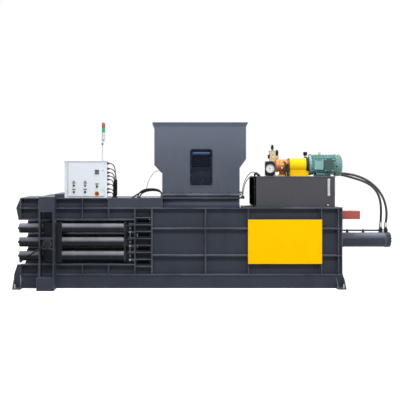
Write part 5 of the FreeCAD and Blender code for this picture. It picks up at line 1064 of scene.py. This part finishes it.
class BALER_OT_stack(Operator):
    """The stack light's ribbed lenses, seals, foot nut and pole clamp"""
    bl_idname = "baler.stack"
    bl_label = "Stack light"

    def execute(self, context):
        for light, (low, high, top) in LENSES.items():
            ribs = [(station, 0.0300 if number % 2 else 0.0288)
                    for number, station in enumerate(spaced(low + 0.004, high - 0.004, LENS_RIBS))]
            turning(f"{light}_dome", (LENS_X, STACK_Y, 0), "Z", [(low, 0.0288), *ribs, (high, 0.0285), *top],
                    f"lens_{light}", f"{light}_lens", smooth=25)
        for number, z in enumerate((2.529, 2.6595, 2.7355), 1):
            turning(f"stack_seal_{number}", (LENS_X, STACK_Y, z), "Z", disc(0.0308, 0.0035), "stack_dark")
        turning("stack_foot_nut", (POLE_X, STACK_Y, 2.167), "Z", disc(0.017, 0.012), "bolt_zinc", sides=6)
        turning("stack_socket", (POLE_X, STACK_Y, 2.440), "Z", SOCKET, "stack_dark", sides=32)
        return {"FINISHED"}


# ------------------------------------------------------------------ bale tunnel
SIDES = (("near", -1, "-Y"), ("far", 1, "Y"))
BAR_LEVELS = (0.552, 0.788, 1.024)
SLOT_LEVELS = (0.434, 0.670, 0.906, 1.142)
SQUEEZE_AXIS = 0.568
KNUCKLE_FACE = 0.6190
CRANK_X = -2.200
CRANK_TILT = math.radians(33)
CRANK_STATIONS = (0.050, 0.340, 0.505, 0.520)
END_PLUG = [(0, 0.0805), (0.006, 0.0805), (0.008, 0.0785), (0.008, 0.024), (0.030, 0.022), (0.033, 0.018)]
BAR_WELD = [(0, 0.0825), (0, 0.0925), (0.003, 0.0915), (0.010, 0.0835), (0.011, 0.0825)]
CRANK_HUB = [(0.001, 0.0483), (0.001, 0.0505), (0.071, 0.0505), (0.0745, 0.047), (0.0745, 0), (0.0703, 0),
             (0.0703, 0.0483)]


class BALER_OT_squeeze(Operator):
    """Squeeze bars' plugs and weld beads, grease nipples, lug screws, slot flaps and the cranks' tubes"""
    bl_idname = "baler.squeeze"
    bl_label = "Squeeze fittings"

    def execute(self, context):
        for side, sign, way in SIDES:
            y = sign * SQUEEZE_AXIS
            wall, screw = f"{side}_squeeze", f"{side}_screw"

            def on_bars(name, x, profile, finish, smooth, sides, hollow):
                def draw(shape):
                    for z in BAR_LEVELS:
                        add_turning(shape, (x, y, z), "-X", profile, sides, hollow)
                piece(f"{side}_{name}", draw, finish, body=wall, smooth=smooth)
            on_bars("bar_plugs", -2.7125, END_PLUG, "anthracite_deep", 30, 48, False)
            knuckle = ((-0.836,), (sign * KNUCKLE_FACE,))
            heads(f"{side}_grease_nipples", grid(way, *knuckle, BAR_LEVELS), "bolt_zinc", 0.008, 0.014,
                  body=wall)
            heads(f"{side}_lug_screws", grid(way, *knuckle, [z - 0.064 for z in BAR_LEVELS]), "bolt_zinc",
                  0.013, 0.010)
            flaps = [((-0.708, sign * 0.484 - 0.002, z + 0.001), (-0.510, sign * 0.484 + 0.002, z + 0.0295))
                     for z in SLOT_LEVELS]
            blocks(f"{side}_slot_flaps", flaps, "gasket_rubber", round_by=0.0008)
            on_bars("bar_welds", -0.9305, BAR_WELD, "weld_bead", 40, FINE_SIDES, True)
            along = [(CRANK_X - reach * math.cos(CRANK_TILT), sign * 1.0353,
                      RAM_LINE[2] - reach * math.sin(CRANK_TILT)) for reach in CRANK_STATIONS]
            turning(f"{side}_crank_hub", (CRANK_X, sign * 1.0003, RAM_LINE[2]), way, CRANK_HUB, "satin_black",
                    body=screw, hollow=True)
            tubes(f"{side}_crank_tube", [along[0:2]], 0.0145, "satin_black", body=screw)
            tubes(f"{side}_crank_grip", [along[1:3]], 0.0180, "gasket_rubber", body=screw)
            ball = dict(u_segments=28, v_segments=16, radius=0.0270, matrix=Matrix.Translation(along[3]))
            piece(f"{side}_crank_ball", lambda shape: bmesh.ops.create_uvsphere(shape, **ball), "nylon_black",
                  body=screw, smooth=60)
        return {"FINISHED"}


WALL_SKIN = 0.4915
LINES_Y = -0.505
STRINGERS = (0.556, 1.015)
POSTS = (-0.464, 0.452, 1.180, 2.422)
TANK_LINES = [
    [(1.298, LINES_Y, 1.700), (1.298, LINES_Y, 1.944), (1.372, -0.470, 1.944), (1.390, -0.455, 1.9072)],
    [(1.296, -0.470, 1.640), (1.296, -0.470, 1.965), (1.352, -0.440, 1.965), (1.372, -0.425, 1.9072)],
]
ROOF_LINE = [(1.060, -0.506, 1.3870), (1.275, -0.506, 1.3870), (1.298, LINES_Y, 1.430),
             (1.298, LINES_Y, 1.705)]
HOPPER_CONDUIT = [(-0.298, -0.531, 1.622), (-0.352, -0.531, 1.668), (-0.500, -0.531, 1.690),
                  (-0.640, -0.531, 1.640), (-0.802, -0.531, 1.541)]


class BALER_OT_bay(Operator):
    """The wire bays' fittings, painted-shade sheets and welds, the lines at tank and hopper, the
    painted-shade sheet on the tank's side and the painted-light sheets under the hopper, and the oil plug
    """
    bl_idname = "baler.bay"
    bl_label = "Wire bay fittings"

    def execute(self, context):
        for number, (low, high) in enumerate(((0.868, 0.938), (0.694, 0.716)), 1):
            rise = high - low
            turning(f"bay_fitting_{number}", (-0.711, -0.500, low), "Z", [
                (0, 0.009), (0.012, 0.009), (0.014, 0.0065), (rise - 0.006, 0.0065), (rise, 0.004)],
                    "bolt_zinc", sides=20)
        # A black sheet on the tank's left side: painted shade of that side.
        blocks("tank_side_shade_sheet", [((1.3055, -0.534, 1.404), (1.3098, 0.534, 1.892))], "side_black",
               round_by=0.001)
        for side, sign, _ in SIDES:
            # Dark sheets in the wire bays: painted shade of the machine's inside.
            near, far = sorted((sign * 0.4895, sign * 0.4912))
            shade_sheets = [((-0.747, near, low + 0.030), (-0.471, far, high - 0.030))
                      for low, high in zip(SLOT_LEVELS, SLOT_LEVELS[1:] + (1.336,))]
            blocks(f"{side}_bay_liners", shade_sheets, "anthracite_deep", round_by=0)
            skin = sign * WALL_SKIN
            beads = [[(-0.456, skin, level + off), (2.772, skin, level + off)]
                     for level in STRINGERS for off in (-0.010, 0.010)]
            beads += [[(x + off, skin, 0.245), (x + off, skin, 1.350)]
                      for x in POSTS for off in (-0.010, 0.010)]
            tubes(f"{side}_wall_welds", beads, 0.0052, "weld_bead", sides=8)
        tubes("tank_corner_lines", TANK_LINES, 0.011, "cable_jacket", bend=0.04)
        blocks("tank_corner_clips", [((1.284, -0.520, 1.842), (1.306, -0.455, 1.872)),
                                     ((1.284, -0.520, 1.705), (1.306, -0.455, 1.725))], "nylon_black")
        tubes("roof_line", [ROOF_LINE], 0.013, "cable_jacket")
        blocks("seat_trim", mirrored((-0.309, 0.5281, 1.5765), (1.067, 0.5306, 1.6075)), "hopper_grey",
               round_by=0.001)
        tubes("hopper_conduit", [HOPPER_CONDUIT], 0.0125, "cable_jacket", bend=0.07)
        # Lighter sheets over the band below the hopper: a painted pool of light where the hopper's flange
        # casts shade.
        blocks("throat_lit_sheets", mirrored((-0.280, 0.4902, 1.372), (1.038, 0.4916, 1.516)), "throat_lit_paint",
               round_by=0.0004)
        blocks("throat_wedge", [((1.042, -0.512, 1.612), (1.078, -0.470, 1.650))], "legend_grey",
               round_by=0.006)
        blocks("level_rod_seat", [((2.284, -0.136, 2.2700), (2.309, -0.104, 2.2950))], "legend_grey")
        tubes("level_rod", [[(2.160, SHAFT[1], 2.2210), (2.292, SHAFT[1], 2.2900)]], 0.0048, "bolt_zinc")
        turning("tank_plug", (2.542, -0.5445, 1.416), "-Y", disc(0.016, 0.012, 0.002), "bolt_zinc", sides=6)
        return {"FINISHED"}


# ------------------------------------------------------------------ hoses and cables
HOSE_ACROSS = 0.042
CABINET_CABLE = 0.016
HOPPER_CABLE = 0.022
TANK_WIRE = 0.012
HOPPER_LENGTHS = (0.486, 0.412)
CABINET_LENGTHS = (0.633, 0.551, 0.472, 0.416, 0.345, 0.27, 0.193, 0.125)
PRESSURE_ROUTE = [(2.66, 0.17, 1.953), (2.8, 0.17, 1.948), (2.96, 0.165, 1.92), (3.14, 0.15, 1.868),
                  (3.3, 0.125, 1.815), (3.43, 0.09, 1.74), (3.525, 0.05, 1.625), (3.57, 0.02, 1.47),
                  (3.58, 0.005, 1.3), (3.572, 0, 1.15), (3.568, 0, 1.028)]
RETURN_ROUTE = [(2.66, 0.25, 1.953), (2.81, 0.25, 1.962), (2.98, 0.243, 1.955), (3.15, 0.225, 1.925),
                (3.31, 0.195, 1.868), (3.45, 0.15, 1.775), (3.56, 0.1, 1.655), (3.635, 0.055, 1.515),
                (3.672, 0.02, 1.36), (3.678, 0.003, 1.21), (3.662, 0, 1.11), (3.656, 0, 1.028)]
SENSOR_ROUTE = [(-0.556, -0.5, 1.698), (-0.545, -0.5, 1.752), (-0.52, -0.5, 1.825), (-0.484, -0.5, 1.9),
                (-0.436, -0.5, 1.962), (-0.386, -0.5, 1.995), (-0.337, -0.5, 2.004)]
CABINET_ROUTES = [
    [(-1.196, -0.532, 2.127), (-1.16, -0.532, 2.125), (-1.12, -0.532, 2.1), (-1.096, -0.532, 2.052),
     (-1.086, -0.532, 1.96), (-1.08, -0.532, 1.82), (-1.078, -0.533, 1.68), (-1.082, -0.534, 1.554)],
    [(-1.196, -0.51, 2.038), (-1.158, -0.51, 2.036), (-1.114, -0.51, 2.01), (-1.088, -0.51, 1.962),
     (-1.076, -0.51, 1.88), (-1.069, -0.51, 1.77), (-1.067, -0.511, 1.655), (-1.071, -0.512, 1.554)],
    [(-1.196, -0.532, 1.97), (-1.16, -0.532, 1.968), (-1.126, -0.532, 1.948), (-1.108, -0.532, 1.91),
     (-1.101, -0.532, 1.845), (-1.098, -0.532, 1.745), (-1.099, -0.533, 1.645), (-1.102, -0.534, 1.554)],
    [(-1.196, -0.51, 1.912), (-1.16, -0.51, 1.91), (-1.124, -0.51, 1.888), (-1.104, -0.51, 1.85),
     (-1.095, -0.51, 1.785), (-1.089, -0.51, 1.7), (-1.088, -0.511, 1.62), (-1.092, -0.512, 1.554)],
    [(-1.196, -0.532, 1.852), (-1.166, -0.532, 1.851), (-1.139, -0.532, 1.835), (-1.124, -0.532, 1.807),
     (-1.12, -0.532, 1.752), (-1.118, -0.532, 1.682), (-1.12, -0.533, 1.612), (-1.124, -0.534, 1.554)],
    [(-1.196, -0.51, 1.773), (-1.164, -0.51, 1.772), (-1.134, -0.51, 1.755), (-1.117, -0.51, 1.723),
     (-1.111, -0.51, 1.672), (-1.109, -0.51, 1.612), (-1.112, -0.511, 1.554)],
    [(-1.196, -0.488, 1.69), (-1.16, -0.488, 1.689), (-1.126, -0.488, 1.668), (-1.107, -0.488, 1.632),
     (-1.102, -0.488, 1.59), (-1.101, -0.489, 1.554)],
    [(-1.196, -0.488, 1.632), (-1.166, -0.488, 1.631), (-1.139, -0.488, 1.615), (-1.124, -0.488, 1.587),
     (-1.122, -0.489, 1.554)],
]
HOPPER_ROUTES = [
    [(-0.704, -0.505, 1.558), (-0.69, -0.505, 1.606), (-0.65, -0.504, 1.65), (-0.585, -0.502, 1.682),
     (-0.505, -0.5, 1.694), (-0.425, -0.5, 1.692), (-0.365, -0.5, 1.68), (-0.324, -0.503, 1.658),
     (-0.301, -0.504, 1.627)],
    [(-0.672, -0.478, 1.558), (-0.652, -0.478, 1.598), (-0.606, -0.479, 1.632), (-0.54, -0.48, 1.655),
     (-0.465, -0.48, 1.664), (-0.398, -0.48, 1.662), (-0.344, -0.478, 1.65), (-0.305, -0.477, 1.629)],
]
TANK_ROUTES = [
    [(1.345, -0.47, 1.917), (1.318, -0.47, 1.962), (1.27, -0.47, 1.985), (1.218, -0.47, 1.962),
     (1.172, -0.47, 1.908), (1.13, -0.47, 1.83), (1.102, -0.47, 1.74), (1.088, -0.47, 1.65),
     (1.086, -0.47, 1.568)],
    [(1.294, -0.44, 1.885), (1.25, -0.44, 1.895), (1.205, -0.44, 1.88), (1.16, -0.44, 1.832),
     (1.13, -0.44, 1.76), (1.112, -0.44, 1.68), (1.104, -0.44, 1.615), (1.104, -0.44, 1.568)],
]


class BALER_OT_hoses(Operator):
    """The two main hoses from the manifold to the cylinder's ports"""
    bl_idname = "baler.hoses"
    bl_label = "Main hoses"

    def execute(self, context):
        cord("pressure_hose_line", PRESSURE_ROUTE, HOSE_ACROSS, "hose_cover", "pressure_hose")
        cord("return_hose_line", RETURN_ROUTE, HOSE_ACROSS, "hose_cover", "return_hose")
        return {"FINISHED"}


class BALER_OT_cables(Operator):
    """Cabinet cables, hopper cables and thin wires along their routes"""
    bl_idname = "baler.cables"
    bl_label = "Cables"

    def execute(self, context):
        for number, (route, length) in enumerate(zip(CABINET_ROUTES, CABINET_LENGTHS), 1):
            cord(f"cabinet_cable_{number}", route, CABINET_CABLE, "cable_jacket", "cabinet_cables")
        for number, (route, length) in enumerate(zip(HOPPER_ROUTES, HOPPER_LENGTHS), 1):
            cord(f"hopper_cable_{number}", route, HOPPER_CABLE, "cable_jacket", "hopper_cables")
        for name, route, thick, length in (("sensor_wire", SENSOR_ROUTE, 0.008, 0.402),
                                           ("tank_wire_1", TANK_ROUTES[0], TANK_WIRE, 0.583),
                                           ("tank_wire_2", TANK_ROUTES[1], TANK_WIRE, 0.428)):
            cord(name, route, thick, "cable_jacket", "thin_wires")
        return {"FINISHED"}


# ------------------------------------------------------------------ finishes on the solids
class BALER_OT_finishes(Operator):
    """Mixes every finish and lays it on the CAD nodes"""
    bl_idname = "baler.finishes"
    bl_label = "Finishes"

    def execute(self, context):
        mix_finishes(context.scene.baler_colours)
        for finish, names in NODE_FINISH.items():
            for name in names:
                mesh = NODES[name].data
                mesh.materials.clear()
                mesh.materials.append(FINISHES[finish])
        return {"FINISHED"}


# ------------------------------------------------------------------ stage
FLOOR_SPAN = 60.0
FLOOR_GLOW = 0.75
SKY_FILL = 0.22
SKY_TINT = (0.92, 0.95, 1.0, 1)
GROUND_TINT = (0.62, 0.62, 0.62, 1)
GLOW_REACH = (3.0, 9.0)
LAMP_TINT = (1.0, 0.995, 0.985)
LAMPS = {
    "front_panel": ((0.4, -11.0, 7.6), (0.3, 0.0, 1.2), (10.0, 2.4), 1000.0),
    "right_panel": ((9.0, -7.0, 4.5), (1.5, 0.0, 1.2), (3.0, 3.0), 90.0),
    "top_panel": ((1.2, -1.6, 7.5), (0.5, -0.3, 0.0), (9.0, 2.5), 420.0),
    "rear_panel": ((2.5, 9.0, 6.5), (0.0, 0.0, 1.0), (6.0, 6.0), 480.0),
    "end_panel": ((10.0, 2.5, 4.5), (2.5, 0.0, 1.2), (4.0, 4.0), 200.0),
    "mouth_panel": ((-10.0, 3.0, 4.5), (-2.0, 0.0, 1.0), (4.0, 4.0), 160.0),
}
CAMERA_PLACE = (-0.410, -17.120, 1.9975)
CAMERA_LENS = 87.35
SENSOR_WIDTH = 36.0
CAMERA_SHIFT = (0.1125, -0.0725)


class BALER_OT_stage(Operator):
    """White floor, soft studio lamps and the camera at the photograph's height and distance"""
    bl_idname = "baler.stage"
    bl_label = "Stage"

    def execute(self, context):
        lay_floor()
        hang_lamps()
        aim_camera(context.scene)
        context.scene.view_settings.view_transform = "Standard"
        return {"FINISHED"}


def seen_white(nodes):
    """1 for the rays that show the plain white ground: from the camera, mirrored or through glass."""
    ray = nodes.add("ShaderNodeLightPath")
    shown = nodes.maths("MAXIMUM", ray.outputs["Is Camera Ray"], ray.outputs["Is Glossy Ray"])
    return nodes.maths("MAXIMUM", shown, ray.outputs["Is Transmission Ray"])


def lay_floor():
    """A white ground that glows more away from the machine, and a sky that fills the shadows."""
    nodes = blank("floor_white")
    plain = nodes.add("ShaderNodeBsdfDiffuse", {"Color": GROUND_TINT, "Roughness": 0.6})
    away = nodes.add("ShaderNodeVectorMath", {0: nodes.add("ShaderNodeTexCoord").outputs["Object"]},
                     operation="LENGTH").outputs["Value"]
    glow = nodes.add("ShaderNodeEmission", {"Color": (1, 1, 1, 1),
                                            "Strength": ramp(nodes, away, *GLOW_REACH, FLOOR_GLOW, 1.0)})
    both = nodes.add("ShaderNodeAddShader", {0: plain.outputs[0], 1: glow.outputs[0]})
    mixed = nodes.add("ShaderNodeMixShader", {0: seen_white(nodes), 1: plain.outputs[0],
                                              2: both.outputs[0]})
    nodes.add("ShaderNodeOutputMaterial", {"Surface": mixed.outputs[0]})
    mesh = bpy.data.meshes.new("studio_floor")
    half = FLOOR_SPAN
    corners = [(-half, -half, 0), (half, -half, 0), (half, half, 0), (-half, half, 0)]
    mesh.from_pydata(corners, [], [(0, 1, 2, 3)])
    mesh.materials.append(FINISHES["floor_white"])
    stood("studio_floor", mesh)
    world = bpy.data.worlds.new("studio_sky")
    world.use_nodes = True
    world.node_tree.nodes.clear()
    sky = Nodes(world.node_tree)
    fill = sky.add("ShaderNodeBackground", {"Color": SKY_TINT, "Strength": SKY_FILL})
    seen = sky.add("ShaderNodeBackground", {"Color": (1, 1, 1, 1), "Strength": 1.0})
    mix = sky.add("ShaderNodeMixShader", {0: seen_white(sky), 1: fill.outputs[0], 2: seen.outputs[0]})
    sky.add("ShaderNodeOutputWorld", {"Surface": mix.outputs[0]})
    bpy.context.scene.world = world


def hang_lamps():
    """Soft square lamps, each a place, a target, a span and a power."""
    for name, (place, target, span, power) in LAMPS.items():
        lamp = bpy.data.lights.new(name, "AREA")
        lamp.shape = "RECTANGLE"
        lamp.size, lamp.size_y = span
        lamp.energy = power
        lamp.color = LAMP_TINT
        aim = (Vector(target) - Vector(place)).to_track_quat("-Z", "Y")
        stood(name, lamp).matrix_world = Matrix.Translation(place) @ aim.to_matrix().to_4x4()


def aim_camera(scene):
    """The camera, level and square to the side, its middle shifted as in the photograph."""
    camera = bpy.data.cameras.new("photo_camera")
    camera.sensor_width = SENSOR_WIDTH
    camera.lens = CAMERA_LENS
    camera.shift_x, camera.shift_y = CAMERA_SHIFT
    camera.clip_end = 200.0
    scene.camera = stood("photo_camera", camera)
    scene.camera.matrix_world = Matrix.Translation(CAMERA_PLACE) @ Matrix.Rotation(math.pi / 2, 4, "X")


# ------------------------------------------------------------------ add-on
PIECES = (BALER_OT_finishes, BALER_OT_window, BALER_OT_fasteners, BALER_OT_cylinder, BALER_OT_hose_ends,
          BALER_OT_motor, BALER_OT_pump, BALER_OT_gauge, BALER_OT_level, BALER_OT_cabinet, BALER_OT_stack,
          BALER_OT_squeeze, BALER_OT_bay, BALER_OT_hoses, BALER_OT_cables, BALER_OT_stage)


class BALER_PT_panel(Panel):
    """The machine's colours, sizes and pieces"""
    bl_idname = "BALER_PT_panel"
    bl_label = "Recycling baler"
    bl_space_type = "VIEW_3D"
    bl_region_type = "UI"
    bl_category = "Baler"

    def draw(self, context):
        column = self.layout.column(align=True)
        for group in (context.scene.baler_colours, context.scene.baler_sizes):
            for name in group.__annotations__:
                column.prop(group, name)
            column.separator()
        for step in PIECES:
            column.operator(step.bl_idname)


CLASSES = (BalerColours, BalerSizes) + PIECES + (BALER_PT_panel,)


def register():
    for cls in CLASSES:
        bpy.utils.register_class(cls)
    bpy.types.Scene.baler_colours = PointerProperty(type=BalerColours)
    bpy.types.Scene.baler_sizes = PointerProperty(type=BalerSizes)


def unregister():
    del bpy.types.Scene.baler_sizes
    del bpy.types.Scene.baler_colours
    for cls in reversed(CLASSES):
        bpy.utils.unregister_class(cls)


def main():
    """Builds every piece in order."""
    register()
    for step in PIECES:
        group, name = step.bl_idname.split(".")
        getattr(getattr(bpy.ops, group), name)()
    bpy.context.view_layer.update()


if __name__ == "__main__":
    main()
